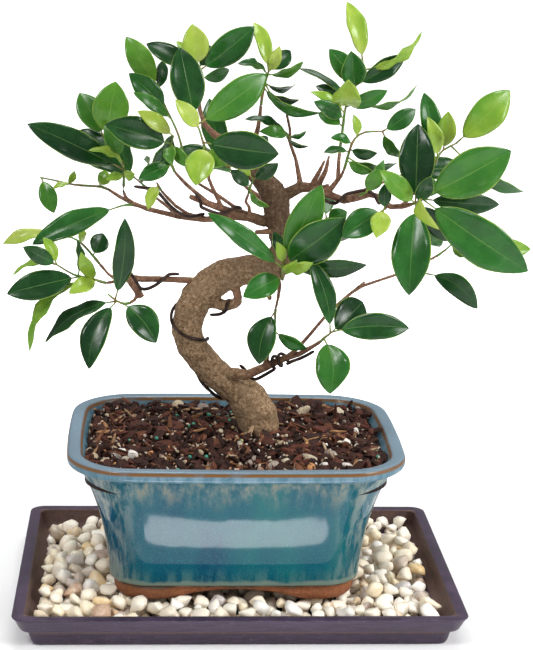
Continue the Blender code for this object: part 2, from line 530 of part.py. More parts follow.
def build_tray(material):
    """The shallow plastic tray: a stepped wall with a flat rim."""
    step = TRAY_HEIGHT / 2
    outside = [
        (TRAY_TAPER, 0.0),
        (TRAY_TAPER - 0.001, 0.002),
        (TRAY_TAPER - 0.003, step),
        (TRAY_TAPER - 0.003 - TRAY_STEP, step + 0.0008),
        (0.0008, TRAY_HEIGHT - 0.0015),
        (0.0, TRAY_HEIGHT - 0.0008),
        (0.0006, TRAY_HEIGHT),
    ]
    rings = [tray_ring(inset, z) for inset, z in outside + tray_inner_rings(0.0)]
    return add_object("humidity_tray", mesh_from("humidity_tray", loft(rings)), material)


def pot_size(flare, inset=0.0):
    """Half length, half width and corner of the pot's outline between base (0) and rim (1)."""
    half_x = (POT_BASE_LENGTH + (POT_LENGTH - POT_BASE_LENGTH) * flare) / 2 - inset
    half_y = (POT_BASE_WIDTH + (POT_WIDTH - POT_BASE_WIDTH) * flare) / 2 - inset
    corner = POT_BASE_CORNER + (POT_CORNER - POT_BASE_CORNER) * flare - inset
    return half_x, half_y, max(corner, 0.004)


def pot_ring(flare, z, inset=0.0):
    """The pot's outline at a level."""
    half_x, half_y, corner = pot_size(flare, inset)
    ring = outline(half_x, half_y, corner, POT_SIDE_BOW * max(flare, 0.3), z)
    return [point + Vector((POT_OFFSET, 0, 0)) for point in ring]


def pot_flare(share):
    """How far the wall has flared at a share of its height: a concave, widening sweep."""
    return 0.34 * share + 0.40 * share**3


def pot_wall_rows():
    """Levels of the wall between the base and the lip, as (share, z)."""
    low = POT_BOTTOM + FOOT_HEIGHT
    high = RIM_LEVEL - POT_LIP_HEIGHT
    return [(share, low + (high - low) * share) for share in (0.03, 0.15, 0.35, 0.55, 0.75, 0.9, 1)]


def pot_inner_rows(gap):
    """The pot's inside from the lip down to the floor, as (flare, inset, z), drawn in by a gap."""
    floor = POT_BOTTOM + FOOT_HEIGHT + POT_FLOOR + gap
    rows = []
    for share, z in reversed(pot_wall_rows()):
        if z > floor + 0.004:
            rows.append((pot_flare(share), POT_WALL + gap, z))
    rows.append((pot_flare(0.1), POT_WALL + gap, floor + 0.003))
    rows.append((pot_flare(0.1), POT_WALL + 0.003 + gap, floor))
    return rows


def build_pot(material):
    """The pot: one body with a rolled lip, four corner feet and two drainage holes."""
    low = POT_BOTTOM + FOOT_HEIGHT
    rings = [pot_ring(-0.06, low)]
    rings += [pot_ring(pot_flare(share), z) for share, z in pot_wall_rows()]
    for flare, drop in [(0.93, 0.95), (1.0, 0.62), (1.0, 0.25), (0.97, 0.06)]:
        rings.append(pot_ring(flare, RIM_LEVEL - POT_LIP_HEIGHT * drop))
    rings.append(pot_ring(0.97, RIM_LEVEL, 0.0015))
    rings.append(pot_ring(1.0, RIM_LEVEL, POT_LIP_WIDTH - 0.0015))
    rings.append(pot_ring(1.0, RIM_LEVEL - 0.0015, POT_LIP_WIDTH))
    rings += [pot_ring(flare, z, inset) for flare, inset, z in pot_inner_rows(0.0)]
    pot = add_object("bonsai_pot", mesh_from("bonsai_pot", loft(rings)), material)

    foot_rows = [(0.003, 0.0, POT_BOTTOM), (0.001, 0.0, low + 0.001)]
    outer = [pot_ring(-0.06, z, inset) for inset, _, z in foot_rows]
    inner = [pot_ring(-0.06, z, FOOT_WIDTH) for _, _, z in reversed(foot_rows)]
    feet = add_object("feet", mesh_from("feet", loft(outer + inner, close=True)))
    gaps = [
        box_cutter((FOOT_GAP_FRONT, POT_WIDTH, FOOT_HEIGHT), POT_BOTTOM + FOOT_HEIGHT / 2 - 0.0002),
        box_cutter((POT_LENGTH, FOOT_GAP_SIDE, FOOT_HEIGHT), POT_BOTTOM + FOOT_HEIGHT / 2 - 0.0002),
    ]
    apply_boolean(pot, [feet], "UNION")
    apply_boolean(pot, gaps, "DIFFERENCE")
    drains = []
    for side in (-1, 1):
        bm = bmesh.new()
        bmesh.ops.create_cone(
            bm, cap_ends=True, segments=16, radius1=DRAIN_DIAMETER / 2,
            radius2=DRAIN_DIAMETER / 2, depth=POT_FLOOR * 3,
        )
        x = POT_OFFSET + side * DRAIN_SPACING / 2
        place = Matrix.Translation((x, 0, low + POT_FLOOR / 2))
        bmesh.ops.transform(bm, matrix=place, verts=bm.verts)
        drains.append(add_object("drain", mesh_from("drain", bm)))
    apply_boolean(pot, drains, "DIFFERENCE")
    return pot


def box_cutter(size, z):
    """A box on the pot's axis at a level."""
    bm = bmesh.new()
    bmesh.ops.create_cube(bm, size=1)
    place = Matrix.Translation((POT_OFFSET, 0, z)) @ Matrix.Diagonal((*size, 1))
    bmesh.ops.transform(bm, matrix=place, verts=bm.verts)
    return add_object("cutter", mesh_from("cutter", bm))


def build_soil(material, root):
    """The soil fills the pot, mounds gently to its middle and leaves a socket for the root."""
    rows = [row for row in pot_inner_rows(CLEARANCE) if row[2] < SOIL_LEVEL - 0.004]
    rings = [pot_ring(flare, z, inset) for flare, inset, z in reversed(rows)]
    edge = pot_flare(1.0)
    for part in (1.0, 0.8, 0.55, 0.3, 0.12):
        half_x, half_y, corner = pot_size(edge, POT_WALL + CLEARANCE)
        z = SOIL_LEVEL + SOIL_MOUND * (1 - part**2)
        bow = POT_SIDE_BOW * edge * part
        ring = outline(half_x * part, half_y * part, corner * part, bow, z)
        rings.append([point + Vector((POT_OFFSET, 0, 0)) for point in ring])
    soil = add_object("soil", mesh_from("soil", loft(rings)), material)
    apply_boolean(soil, [root], "DIFFERENCE")
    return soil


def build_pebble_bed(material):
    """One solid for the layer of loose pebbles, level where the pot stands and lumpy round it."""
    rows = [row for row in tray_inner_rings(CLEARANCE) if row[1] < PEBBLE_DEPTH]
    rings = [tray_ring(inset, z) for inset, z in reversed(rows)]
    foot_x, foot_y, _ = pot_size(0.0)
    edge = TRAY_RIM + TRAY_STEP + CLEARANCE
    for share in (0.0, 0.2, 0.4, 0.6, 0.8, 1.0):
        half_x = (TRAY_LENGTH / 2 - edge) * (1 - share) + (foot_x + 0.004) * share
        half_y = (TRAY_WIDTH / 2 - edge) * (1 - share) + (foot_y + 0.004) * share
        ring = outline(half_x, half_y, TRAY_CORNER + 0.010 * share, 0, PEBBLE_DEPTH)
        lift = math.sin(math.pi * min(share + 0.15, 1.0)) * PEBBLE_BUMP
        for index, point in enumerate(ring):
            point.z += lift * (1.2 + math.sin(index * 2.4 + share * 17))
        rings.append(ring)
    return add_object("pebble_bed", mesh_from("pebble_bed", loft(rings)), material)


# --- the tree ---


def place(x, z, near):
    """A point of the drawing, in metres, with the tree standing in the soil."""
    flat = Vector((x, 0.0, z))
    point = flat + (STATION - flat).normalized() * near
    return point * TREE_SCALE + TREE_BASE


def size(millimetres):
    """A length of the drawing, in metres."""
    return millimetres * TREE_SCALE


def smooth_path(knots, spacing):
    """Points along a Catmull-Rom curve through knots of any width, about spacing mm apart."""
    path = []
    for index in range(len(knots) - 1):
        before = knots[max(index - 1, 0)]
        start, end = knots[index], knots[index + 1]
        after = knots[min(index + 2, len(knots) - 1)]
        length = math.dist(start[:3], end[:3])
        steps = max(1, round(length / spacing))
        for step in range(steps):
            t = step / steps
            path.append(tuple(
                0.5 * (2 * b + (c - a) * t + (2 * a - 5 * b + 4 * c - d) * t**2
                       + (3 * b - a - 3 * c + d) * t**3)
                for a, b, c, d in zip(before, start, end, after)
            ))
    path.append(tuple(float(value) for value in knots[-1]))
    return path


def tube(name, points, radii, sides):
    """A capped tube along points, made from a bevelled curve, as a mesh object."""
    curve = bpy.data.curves.new(name, "CURVE")
    curve.dimensions = "3D"
    curve.bevel_depth = 1.0
    curve.bevel_resolution = (sides - 4) // 2
    curve.use_fill_caps = True
    spline = curve.splines.new("POLY")
    spline.points.add(len(points) - 1)
    for knot, point, radius in zip(spline.points, points, radii):
        knot.co = (*point, 1.0)
        knot.radius = radius
    guide = bpy.data.objects.new(name, curve)
    bpy.context.scene.collection.objects.link(guide)
    bpy.context.view_layer.update()
    mesh = bpy.data.meshes.new_from_object(guide.evaluated_get(bpy.context.evaluated_depsgraph_get()))
    bpy.data.objects.remove(guide)
    bpy.data.curves.remove(curve)
    bm = bmesh.new()
    bm.from_mesh(mesh)
    bpy.data.meshes.remove(mesh)
    bmesh.ops.remove_doubles(bm, verts=bm.verts, dist=1e-6)
    return add_object(name, mesh_from(name, bm))


def branch_tube(name, knots, spacing, sides, swell=0.0):
    """A tapered tube of wood along the knots of a branch."""
    path = smooth_path(knots, spacing)
    points = [place(x, z, near) for x, z, near, _ in path]
    radii = [size(radius) * TRUNK_GIRTH + swell for *_, radius in path]
    return tube(name, points, radii, sides)


def build_wood(material):
    """The trunk with every branch and twig grown onto it, as one piece."""
    wood = branch_tube("tree_wood", TRUNK, TRUNK_STATION, TRUNK_SIDES)
    twigs = []
    for name, knots in BRANCHES.items():
        sides = 8 if knots[0][3] > 3 else BRANCH_SIDES
        twigs.append(branch_tube(name, knots, BRANCH_STATION, sides))
    apply_boolean(wood, twigs, "UNION")
    wood.data.materials.clear()
    wood.data.materials.append(material)
    return wood


def root_cutter():
    """The buried end of the trunk, larger by the clearance."""
    return branch_tube("root", TRUNK[:4], TRUNK_STATION, TRUNK_SIDES, CLEARANCE)


def stem_path(branch, stem):
    """The centre of a shoot's stem: it starts a clearance beyond the twig and runs on from it."""
    knots = BRANCHES[branch]
    path = smooth_path(knots, BRANCH_STATION)
    end = place(*path[-1][:3])
    onward = (end - place(*path[-2][:3])).normalized()
    lead = [end + onward * CLEARANCE, end + onward * (CLEARANCE + size(1.5))]
    return lead + [place(*knot) for knot in smooth_path(stem, STEM_STATION)]


def point_on(path, share):
    """The point at a share of a path's length."""
    lengths = [(b - a).length for a, b in zip(path, path[1:])]
    left = share * sum(lengths)
    for start, end, length in zip(path, path[1:], lengths):
        if left <= length:
            return start.lerp(end, left / length)
        left -= length
    return path[-1].copy()


def leaf_rings(base, tip, width, roll, bow, sweep, thick):
    """Rings of three points along a leaf, edge, edge and keel, from its petiole to its tip."""
    chord = tip - base
    along = chord.normalized()
    facing = (EYE - base).normalized()
    normal = (facing - along * facing.dot(along)).normalized()
    normal = Matrix.Rotation(math.radians(roll), 3, along) @ normal
    side = along.cross(normal)
    petiole = STEM_DIAMETER * 0.35
    rings = []
    for share, spread in ((0, 0), (0.15, 0), (0.5, 1.0), (0.82, 0.62)):
        arch = (normal * bow + side * sweep) * chord.length * 4 * share * (1 - share)
        center = base + chord * share + arch
        half = max(width / 2 * spread, petiole)
        keel = center - normal * (thick if spread else petiole)
        rings.append([center - side * half, keel, center + side * half])
    return rings


def leaf_mesh(base, tip, width, roll, bow, sweep, thick, first=0):
    """A leaf as a thin closed solid that is thickest along its midrib."""
    rings = leaf_rings(base, tip, width, roll, bow, sweep, thick)[first:]
    bm = loft(rings, tip=tip)
    bmesh.ops.triangulate(bm, faces=bm.faces)
    return bm


def bvh_of(bm):
    """A search tree of a bmesh, which it then frees."""
    found = BVHTree.FromBMesh(bm)
    bm.free()
    return found


def bvh_of_object(made):
    """A search tree of an object's mesh."""
    bm = bmesh.new()
    bm.from_mesh(made.data)
    return bvh_of(bm)


def settle(base, leaf, others, blades):
    """Swings a leaf's tip and rolls its blade until it's clear of what is already there."""
    _, x, z, near, width, roll, bow, sweep = leaf
    tried = []
    for swing in (0, 4, -4, 8, -8, 12, -12, 16, -16, 21, -21, 27, -27, 34, -34):
        for turn in (0, 14, -14, 28, -28):
            tried.append((abs(swing) + abs(turn) * 0.35, swing, turn))
    best = None
    for _, swing, turn in sorted(tried):
        tip = place(x, z, near + swing)
        shape = (base, tip, size(width + 0.8), roll + turn, bow, sweep)
        whole = bvh_of(leaf_mesh(*shape, LEAF_THICKNESS * 2.2))
        blade = bvh_of(leaf_mesh(*shape, LEAF_THICKNESS * 2.2, first=1))
        hits = sum(len(whole.overlap(other)) for other in others)
        hits += sum(len(blade.overlap(other)) for other in blades)
        if best is None or hits < best[0]:
            best = (hits, tip, roll + turn, whole, blade)
        if hits == 0:
            break
    return best


def build_shoot(name, branch, stem, leaves, others, material):
    """A green stem and its leaves, grown as one piece."""
    path = stem_path(branch, stem)
    shares = [index / (len(path) - 1) for index in range(len(path))]
    radii = [STEM_DIAMETER / 2 * (1 - 0.45 * share) for share in shares]
    shoot = tube("shoot_" + name, path, radii, THIN_SIDES)
    own_stem = bvh_of_object(shoot)
    blades, wholes, grown = [], [], []
    for number, leaf in enumerate(leaves):
        leaf = leaf if len(leaf) == 8 else (*leaf, 0.0)
        base = point_on(path, 0.1 + leaf[0] * 0.87)
        hits, tip, roll, whole, blade = settle(base, leaf, others, blades + [own_stem])
        if hits:
            print("leaf", name, number, "still touches", hits)
        blades.append(blade)
        wholes.append(whole)
        solid = leaf_mesh(base, tip, size(leaf[4]), roll, *leaf[6:], LEAF_THICKNESS)
        grown.append(add_object("leaf", mesh_from("leaf", solid)))
    others += wholes + [own_stem]
    apply_boolean(shoot, grown, "UNION")
    shoot.data.materials.clear()
    shoot.data.materials.append(material)
    return shoot


def off_wood(point, wood):
    """The point, moved out where a wire through it would lie in the wood or too near it."""
    needed = WIRE_DIAMETER / 2 + CLEARANCE
    spot, normal, _, away = wood.find_nearest(point)
    if (point - spot).dot(normal) < 0:
        return spot + normal * needed
    if away < needed:
        return spot + (point - spot).normalized() * needed
    return point


def build_wire(name, guide, wood, material):
    """A training wire wound round the wood of its guide."""
    points = []
    path = smooth_path(guide, WIRE_STATION)
    dense = []
    for start, end in zip(path, path[1:]):
        steps = max(1, math.ceil(abs(end[4] - start[4]) / 36))
        for step in range(steps):
            t = step / steps
            dense.append(tuple(a + (b - a) * t for a, b in zip(start, end)))
    dense.append(path[-1])
    centers = [place(*row[:3]) for row in dense]
    for index, row in enumerate(dense):
        ahead = centers[min(index + 1, len(centers) - 1)] - centers[max(index - 1, 0)]
        ahead.normalize()
        facing = (EYE - centers[index]).normalized()
        front = (facing - ahead * facing.dot(ahead)).normalized()
        across = ahead.cross(front)
        angle = math.radians(row[4])
        reach = size(row[3]) * TRUNK_GIRTH + WIRE_DIAMETER / 2 + CLEARANCE
        wound = centers[index] + reach * (front * math.cos(angle) + across * math.sin(angle))
        points.append(off_wood(wound, wood))
    wire = tube(name, points, [WIRE_DIAMETER / 2] * len(points), THIN_SIDES)
    wire.data.materials.append(material)
    return wire


def build_all():
    """Clears the scene and makes every piece."""
    for old in list(bpy.data.objects):
        bpy.data.objects.remove(old)
    materials = {name: make_material(name) for name in FINISHES}
    build_tray(materials["tray_plastic"])
    build_pebble_bed(materials["pebbles"])
    build_pot(materials["pot_glaze"])
    build_soil(materials["soil"], root_cutter())
    wood = build_wood(materials["bark"])
    skin = bvh_of_object(wood)
    wires = [build_wire(name, guide, skin, materials["wire"]) for name, guide in WIRES.items()]
    others = [skin, *(bvh_of_object(wire) for wire in wires)]
    for name, (branch, stem, leaves) in SHOOTS.items():
        build_shoot(name, branch, stem, leaves, others, materials["foliage"])


build_all()
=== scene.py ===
# %% [markdown]
# # A ficus bonsai in a glazed pot
#
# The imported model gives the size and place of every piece. This lesson builds what the eye sees
# round it: a plastic tray of quartz pebbles, a glazed pot with bare clay feet, a bed of bark and
# grit, a pitted trunk wound with wire, and shoots of glossy leaves.

# %% Load the fixed frame
import math
import random

import bmesh
import bpy
import numpy as np
from mathutils import Matrix, Vector, noise
from mathutils.bvhtree import BVHTree
from mathutils.kdtree import KDTree


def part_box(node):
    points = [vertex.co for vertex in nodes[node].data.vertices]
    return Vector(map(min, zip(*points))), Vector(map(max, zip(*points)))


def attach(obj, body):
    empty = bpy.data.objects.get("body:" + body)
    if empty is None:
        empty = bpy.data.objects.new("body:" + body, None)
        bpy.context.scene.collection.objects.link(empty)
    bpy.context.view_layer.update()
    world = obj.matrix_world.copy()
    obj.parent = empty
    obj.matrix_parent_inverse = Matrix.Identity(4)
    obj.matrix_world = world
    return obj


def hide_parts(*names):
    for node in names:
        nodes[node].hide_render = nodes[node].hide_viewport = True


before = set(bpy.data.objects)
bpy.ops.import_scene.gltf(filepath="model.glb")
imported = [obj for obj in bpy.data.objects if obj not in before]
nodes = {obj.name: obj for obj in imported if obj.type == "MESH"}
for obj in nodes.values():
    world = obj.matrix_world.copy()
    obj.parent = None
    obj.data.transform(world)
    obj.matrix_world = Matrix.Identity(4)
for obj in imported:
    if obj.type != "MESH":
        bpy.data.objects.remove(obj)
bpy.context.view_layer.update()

# %% [markdown]
# The camera comes first, because everything is judged through it. It stands a metre in front of
# the tree, a little above it, and looks down by 14 degrees. A long lens keeps the pot's sides
# from spreading.

# %% Camera
PITCH = 0.2508
YAW = 0.0706
ROLL = 0.0274
LENS = 98.49
CAMERA_SPOT = (-0.0578, -1.04, 0.4382)


def add_camera():
    """A camera aimed by its yaw, pitch and roll."""
    data = bpy.data.cameras.new("camera")
    data.lens = LENS
    data.clip_start = 0.05
    data.clip_end = 50.0
    camera = bpy.data.objects.new("camera", data)
    bpy.context.scene.collection.objects.link(camera)
    level = Vector((math.sin(YAW), math.cos(YAW), 0))
    forward = level * math.cos(PITCH) - Vector((0, 0, math.sin(PITCH)))
    right = Vector((math.cos(YAW), -math.sin(YAW), 0))
    up = right.cross(forward)
    rolled = right * math.cos(ROLL) + up * math.sin(ROLL)
    top = up * math.cos(ROLL) - right * math.sin(ROLL)
    turn = Matrix((rolled, top, -forward)).transposed().to_4x4()
    camera.matrix_world = Matrix.Translation(CAMERA_SPOT) @ turn
    bpy.context.scene.camera = camera
    return camera


camera = add_camera()
print("lens", round(camera.data.lens, 2))

# %% [markdown]
# A few helpers serve every material. `new_finish` starts a Principled material, `add_node` adds a
# node with its values set, and the rest stand for one node each, so that a finish below reads as
# a short list of steps.

# %% Material helpers


def new_finish(name, roughness=0.5, **sockets):
    """A Principled material with constants on its own sockets, its shader and its coordinates."""
    material = bpy.data.materials.new(name)
    material.use_nodes = True
    tree = material.node_tree
    shader = tree.nodes["Principled BSDF"]
    shader.inputs["Roughness"].default_value = roughness
    for socket, value in sockets.items():
        shader.inputs[socket.replace("_", " ")].default_value = value
    return material, shader, tree.nodes.new("ShaderNodeTexCoord").outputs["Object"]


def feed(shader, socket, source):
    """A link from a source to one of the shader's sockets."""
    shader.id_data.links.new(source, shader.inputs[socket])


def add_node(tree, kind, links=None, **values):
    """A node with its properties and inputs set, and its inputs linked."""
    node = tree.nodes.new(kind)
    for key, value in values.items():
        if hasattr(node, key):
            setattr(node, key, value)
        else:
            node.inputs[key.replace("_", " ")].default_value = value
    for socket, source in (links or {}).items():
        tree.links.new(source, node.inputs[socket])
    return node


def plug(node, values):
    """Inputs of a node, each linked to a socket or set to a constant."""
    for number, value in values.items():
        if isinstance(value, bpy.types.NodeSocket):
            node.id_data.links.new(value, node.inputs[number])
        else:
            node.inputs[number].default_value = value


def tree_of(*values):
    """The node tree of the first socket among some values."""
    return next(value for value in values if isinstance(value, bpy.types.NodeSocket)).id_data


def maths(operation, first, second=0.0, clamp=False):
    """A Math node on sockets or numbers."""
    node = add_node(tree_of(first, second), "ShaderNodeMath", operation=operation, use_clamp=clamp)
    plug(node, {0: first, 1: second})
    return node.outputs[0]


def times(first, second):
    """A product."""
    return maths("MULTIPLY", first, second)


def plus(first, second, clamp=False):
    """A sum."""
    return maths("ADD", first, second, clamp)


def minus(first, second):
    """A difference."""
    return maths("SUBTRACT", first, second)


def size_of(value):
    """A value without its sign."""
    return maths("ABSOLUTE", value)


def ramp(source, stops, smooth=True):
    """A colour ramp through (place, colour) stops."""
    node = add_node(source.id_data, "ShaderNodeValToRGB", {0: source})
    node.color_ramp.interpolation = "EASE" if smooth else "LINEAR"
    elements = node.color_ramp.elements
    while len(elements) < len(stops):
        elements.new(0.5)
    for element, (position, color) in zip(elements, stops):
        element.position = position
        element.color = (*color, 1)
    return node.outputs[0]


def grey(value):
    """A grey as a colour."""
    return (value, value, value)


def mix(factor, first, second):
    """A mix of two colours, each a socket or a constant."""
    node = add_node(tree_of(factor, first, second), "ShaderNodeMix", data_type="RGBA")
    first, second = [(*value, 1) if isinstance(value, tuple) else value for value in (first, second)]
    plug(node, {0: factor, 6: first, 7: second})
    return node.outputs[2]


def between(value, low, high, out_low=0.0, out_high=1.0):
    """A value eased from one range to another and held at its ends."""
    node = add_node(value.id_data, "ShaderNodeMapRange", interpolation_type="SMOOTHSTEP")
    plug(node, {0: value, 1: low, 2: high, 3: out_low, 4: out_high})
    return node.outputs[0]


def speckle(coords, scale, detail=3.0, rough=0.6):
    """A noise pattern at a scale, in grains per metre."""
    values = {"Scale": scale, "Detail": detail, "Roughness": rough}
    return add_node(coords.id_data, "ShaderNodeTexNoise", {"Vector": coords}, **values).outputs[0]


def stretched(coords, scale):
    """Coordinates scaled along each axis."""
    return add_node(coords.id_data, "ShaderNodeMapping", {"Vector": coords}, Scale=scale).outputs[0]


def axes_of(coords):
    """The three parts of a vector."""
    return add_node(coords.id_data, "ShaderNodeSeparateXYZ", {"Vector": coords}).outputs


def painted(shader, name):
    """A value that the piece's own points carry."""
    return add_node(shader.id_data, "ShaderNodeAttribute", attribute_name=name).outputs["Fac"]


def bump(shader, height, strength, distance):
    """A bump from a height, fed to the shader."""
    values = {"Strength": strength, "Distance": distance}
    node = add_node(shader.id_data, "ShaderNodeBump", {"Height": height}, **values)
    feed(shader, "Normal", node.outputs[0])


print("material helpers ready")

# %% [markdown]
# The room is a white sweep under three large soft lights. A glossy leaf or glaze shows the shape
# of each light, so their sizes matter as much as their strengths. A bright card lies on the floor
# close in front of the tray, and the pot's hollow face gathers it into one pale band. The sweep
# carries a painted glow, seen only by the camera, that grows with distance from the piece.

# %% Floor, world and lights
GLOW_START, GLOW_END = 0.14, 0.60
ROOM_LIGHT, ROOM_SEEN = 0.36, 1.0
SUBJECT = (0, 0, 0.2)


def add_light(name, spot, aim, size, power):
    """A rectangular soft light that points at a spot."""
    data = bpy.data.lights.new(name, "AREA")
    data.shape = "RECTANGLE"
    data.size, data.size_y = size
    data.energy = power
    light = bpy.data.objects.new(name, data)
    bpy.context.scene.collection.objects.link(light)
    light.location = spot
    light.rotation_euler = (Vector(aim) - Vector(spot)).to_track_quat("-Z", "Y").to_euler()


def camera_ray(tree):
    """One for what the camera sees directly, and nought for light on its way round."""
    return tree.nodes.new("ShaderNodeLightPath").outputs["Is Camera Ray"]


def add_floor():
    """A pale floor with a painted glow, seen only by the camera, that grows away from the piece."""
    bm = bmesh.new()
    bmesh.ops.create_grid(bm, x_segments=1, y_segments=1, size=6.0)
    mesh = bpy.data.meshes.new("floor")
    bm.to_mesh(mesh)
    bm.free()
    floor = bpy.data.objects.new("floor", mesh)
    bpy.context.scene.collection.objects.link(floor)
    paper, shader, coords = new_finish(
        "paper_sweep", 0.9, Base_Color=(0.93, 0.93, 0.935, 1), Specular_IOR_Level=0.1,
        Emission_Color=(1, 1, 1, 1),
    )
    # Painted glow: the camera sees the floor emit light that grows with distance from the piece.
    away = add_node(paper.node_tree, "ShaderNodeVectorMath", {0: coords}, operation="LENGTH")
    glow = between(away.outputs["Value"], GLOW_START, GLOW_END)
    feed(shader, "Emission Strength", times(glow, camera_ray(paper.node_tree)))
    mesh.materials.append(paper)


def add_world():
    """A white room that lights the piece less than its looks suggest."""
    world = bpy.data.worlds.new("studio")
    world.use_nodes = True
    tree = world.node_tree
    room = tree.nodes["Background"]
    plug(room, {"Color": (1, 1, 1, 1), "Strength": ROOM_LIGHT})
    seen = add_node(tree, "ShaderNodeBackground", Color=(1, 1, 1, 1), Strength=ROOM_SEEN)
    links = {0: camera_ray(tree), 1: room.outputs[0], 2: seen.outputs[0]}
    choice = add_node(tree, "ShaderNodeMixShader", links)
    tree.links.new(choice.outputs[0], tree.nodes["World Output"].inputs["Surface"])
    bpy.context.scene.world = world


add_floor()
add_world()
add_light("key", (-0.9, -1.0, 1.5), SUBJECT, (0.5, 0.5), 17)
add_light("fill", (1.2, -0.7, 0.9), SUBJECT, (0.5, 0.7), 20)
add_light("top", (0.1, 0.5, 1.6), SUBJECT, (1.0, 0.7), 15)
add_light("front_card", (0.004, -0.1474, 0.0006), (0.004, -0.1474, 1.0), (0.194, 0.028), 0.11)
bpy.context.scene.view_settings.view_transform = "Standard"

# %% [markdown]
# Every new piece ends the same way: its bmesh becomes a mesh at the origin, it rides on the root
# body, it stands for its CAD node, whose part is hidden, and it takes its finishes.

# %% Piece helper


def finish_piece(name, bm, materials, stands_for=(), smooth=True, outward=True):
    """A piece from a bmesh, tied to the frame."""
    if outward:
        bmesh.ops.recalc_face_normals(bm, faces=bm.faces)
    mesh = bpy.data.meshes.new(name)
    bm.to_mesh(mesh)
    bm.free()
    mesh.polygons.foreach_set("use_smooth", [smooth] * len(mesh.polygons))
    piece = bpy.data.objects.new(name, mesh)
    bpy.context.scene.collection.objects.link(piece)
    for material in materials:
        mesh.materials.append(material)
    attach(piece, "root")
    if stands_for:
        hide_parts(*stands_for)
    print(name, len(mesh.polygons), "faces")
    return piece


def copy_of_node(name):
    """A bmesh of a CAD node with its doubles merged."""
    bm = bmesh.new()
    bm.from_mesh(nodes[name].data)
    bmesh.ops.remove_doubles(bm, verts=bm.verts, dist=1e-6)
    return bm


def rounded_ring(half_x, half_y, corner, bow, z, center=0.0, steps=10):
    """Points round a rounded rectangle with sides that bow out, starting at its right side."""
    half_x -= bow
    half_y -= bow
    points = []
    for quarter, (sx, sy) in enumerate([(1, 1), (-1, 1), (-1, -1), (1, -1)]):
        middle = Vector((sx * (half_x - corner), sy * (half_y - corner), z))
        for step in range(steps + 1):
            angle = math.radians(90 * (quarter + step / steps))
            points.append(middle + corner * Vector((math.cos(angle), math.sin(angle), 0)))
        run = 2 * ((half_x if quarter % 2 == 0 else half_y) - corner)
        along = Matrix.Rotation(math.radians(90 * quarter), 3, "Z") @ Vector((-1, 0, 0))
        last = points[-1]
        points += [last + along * run * step / steps for step in range(1, steps)]
    for point in points:
        x_share, y_share = point.x / half_x, point.y / half_y
        point.x += math.copysign(bow * (1 - y_share**2), point.x) * abs(x_share) ** 4
        point.y += math.copysign(bow * (1 - x_share**2), point.y) * abs(y_share) ** 4
        point.x += center
    return points


def wrap_rings(rings, bm=None):
    """A closed skin drawn up from one ring of points to the next by extruding its edge."""
    bm = bm or bmesh.new()
    verts = [bm.verts.new(point) for point in rings[0]]
    edges = [bm.edges.new(pair) for pair in zip(verts, verts[1:] + verts[:1])]
    faces = {bm.faces.new(verts)}
    every = set(verts)
    for ring in rings[1:]:
        made = bmesh.ops.extrude_edge_only(bm, edges=edges)["geom"]
        raised = {item for item in made if isinstance(item, bmesh.types.BMVert)}
        faces |= {item for item in made if isinstance(item, bmesh.types.BMFace)}
        edges = [item for item in made if isinstance(item, bmesh.types.BMEdge)]
        edges = [edge for edge in edges if set(edge.verts) <= raised]
        above = {edge.other_vert(vert): vert for vert in raised for edge in vert.link_edges}
        verts = [above[vert] for vert in verts]
        every |= raised
        for vert, point in zip(verts, ring):
            vert.co = point
    faces.add(bm.faces.new(verts))
    return bm, every, faces


print("piece helpers ready")

# %% [markdown]
# The tray is moulded plastic: a purple-brown satin wall with a step half way up, a flat rim and
# a floor. One outline, drawn up from ring to ring, follows the mould. Fine ridges run round the
# inside of the wall, where dust from the stones has settled.

# %% Tray
TRAY_X, TRAY_Y = 0.1325, 0.095
TRAY_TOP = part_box("humidity_tray")[1].z


def tray_ring(inset, z):
    """The tray's outline at a level."""
    return rounded_ring(TRAY_X - inset, TRAY_Y - inset, max(0.009 - inset * 0.4, 0.003), 0, z, steps=6)


def build_tray():
    """The tray with softened edges and ridged inner walls."""
    rows = [
        (0.0119, 0.0), (0.0114, 0.0004), (0.0105, 0.002), (0.0085, 0.0098), (0.0082, 0.0100),
        (0.0048, 0.0107), (0.0045, 0.0110), (0.0010, 0.0183), (0.0002, 0.0190), (0.0, 0.0194),
        (0.0002, 0.0198), (0.0007, TRAY_TOP), (0.0064, TRAY_TOP), (0.0069, 0.0198), (0.0071, 0.0194),
    ]
    for ridge in range(6):
        z = 0.0186 - ridge * 0.0012
        rows += [(0.0074 + ridge * 0.0003, z), (0.0071 + ridge * 0.0003, z - 0.0006)]
    rows += [(0.0130, 0.0090), (0.0140, 0.0027), (0.0146, 0.0025)]
    bm = wrap_rings([tray_ring(inset, z) for inset, z in rows])[0]
    return finish_piece("tray", bm, [tray_plastic()], ["humidity_tray"])


def tray_plastic():
    """Satin plastic with a faint grain, paler and duller where dust lies."""
    material, shader, coords = new_finish("tray_plastic", 0.36, Specular_IOR_Level=0.3)
    x, y, z = axes_of(coords)
    drawn = speckle(stretched(coords, (0.35, 0.35, 4.0)), 260.0, 4.0, 0.6)
    base = ramp(drawn, [(0.3, (0.034, 0.021, 0.040)), (0.7, (0.066, 0.043, 0.078))])
    dust = speckle(coords, 420.0, 6.0, 0.7)
    specks = ramp(dust, [(0.56, grey(0)), (0.68, grey(1))])
    flecked = mix(times(specks, 0.16), base, (0.30, 0.26, 0.28))
    inside_x = between(size_of(x), 0.1262, 0.1252)
    inside_y = between(size_of(y), 0.0887, 0.0877)
    inside = times(times(inside_x, inside_y), between(z, 0.0075, 0.0085))
    dusty = times(inside, between(dust, 0.3, 0.7, 0.35, 0.9))
    color = mix(dusty, flecked, (0.170, 0.100, 0.070))
    feed(shader, "Base Color", color)
    rough = plus(times(dusty, 0.35), between(drawn, 0.3, 0.7, 0.30, 0.42))
    feed(shader, "Roughness", rough)
    bump(shader, drawn, 0.25, 0.0003)
    return material


build_tray()

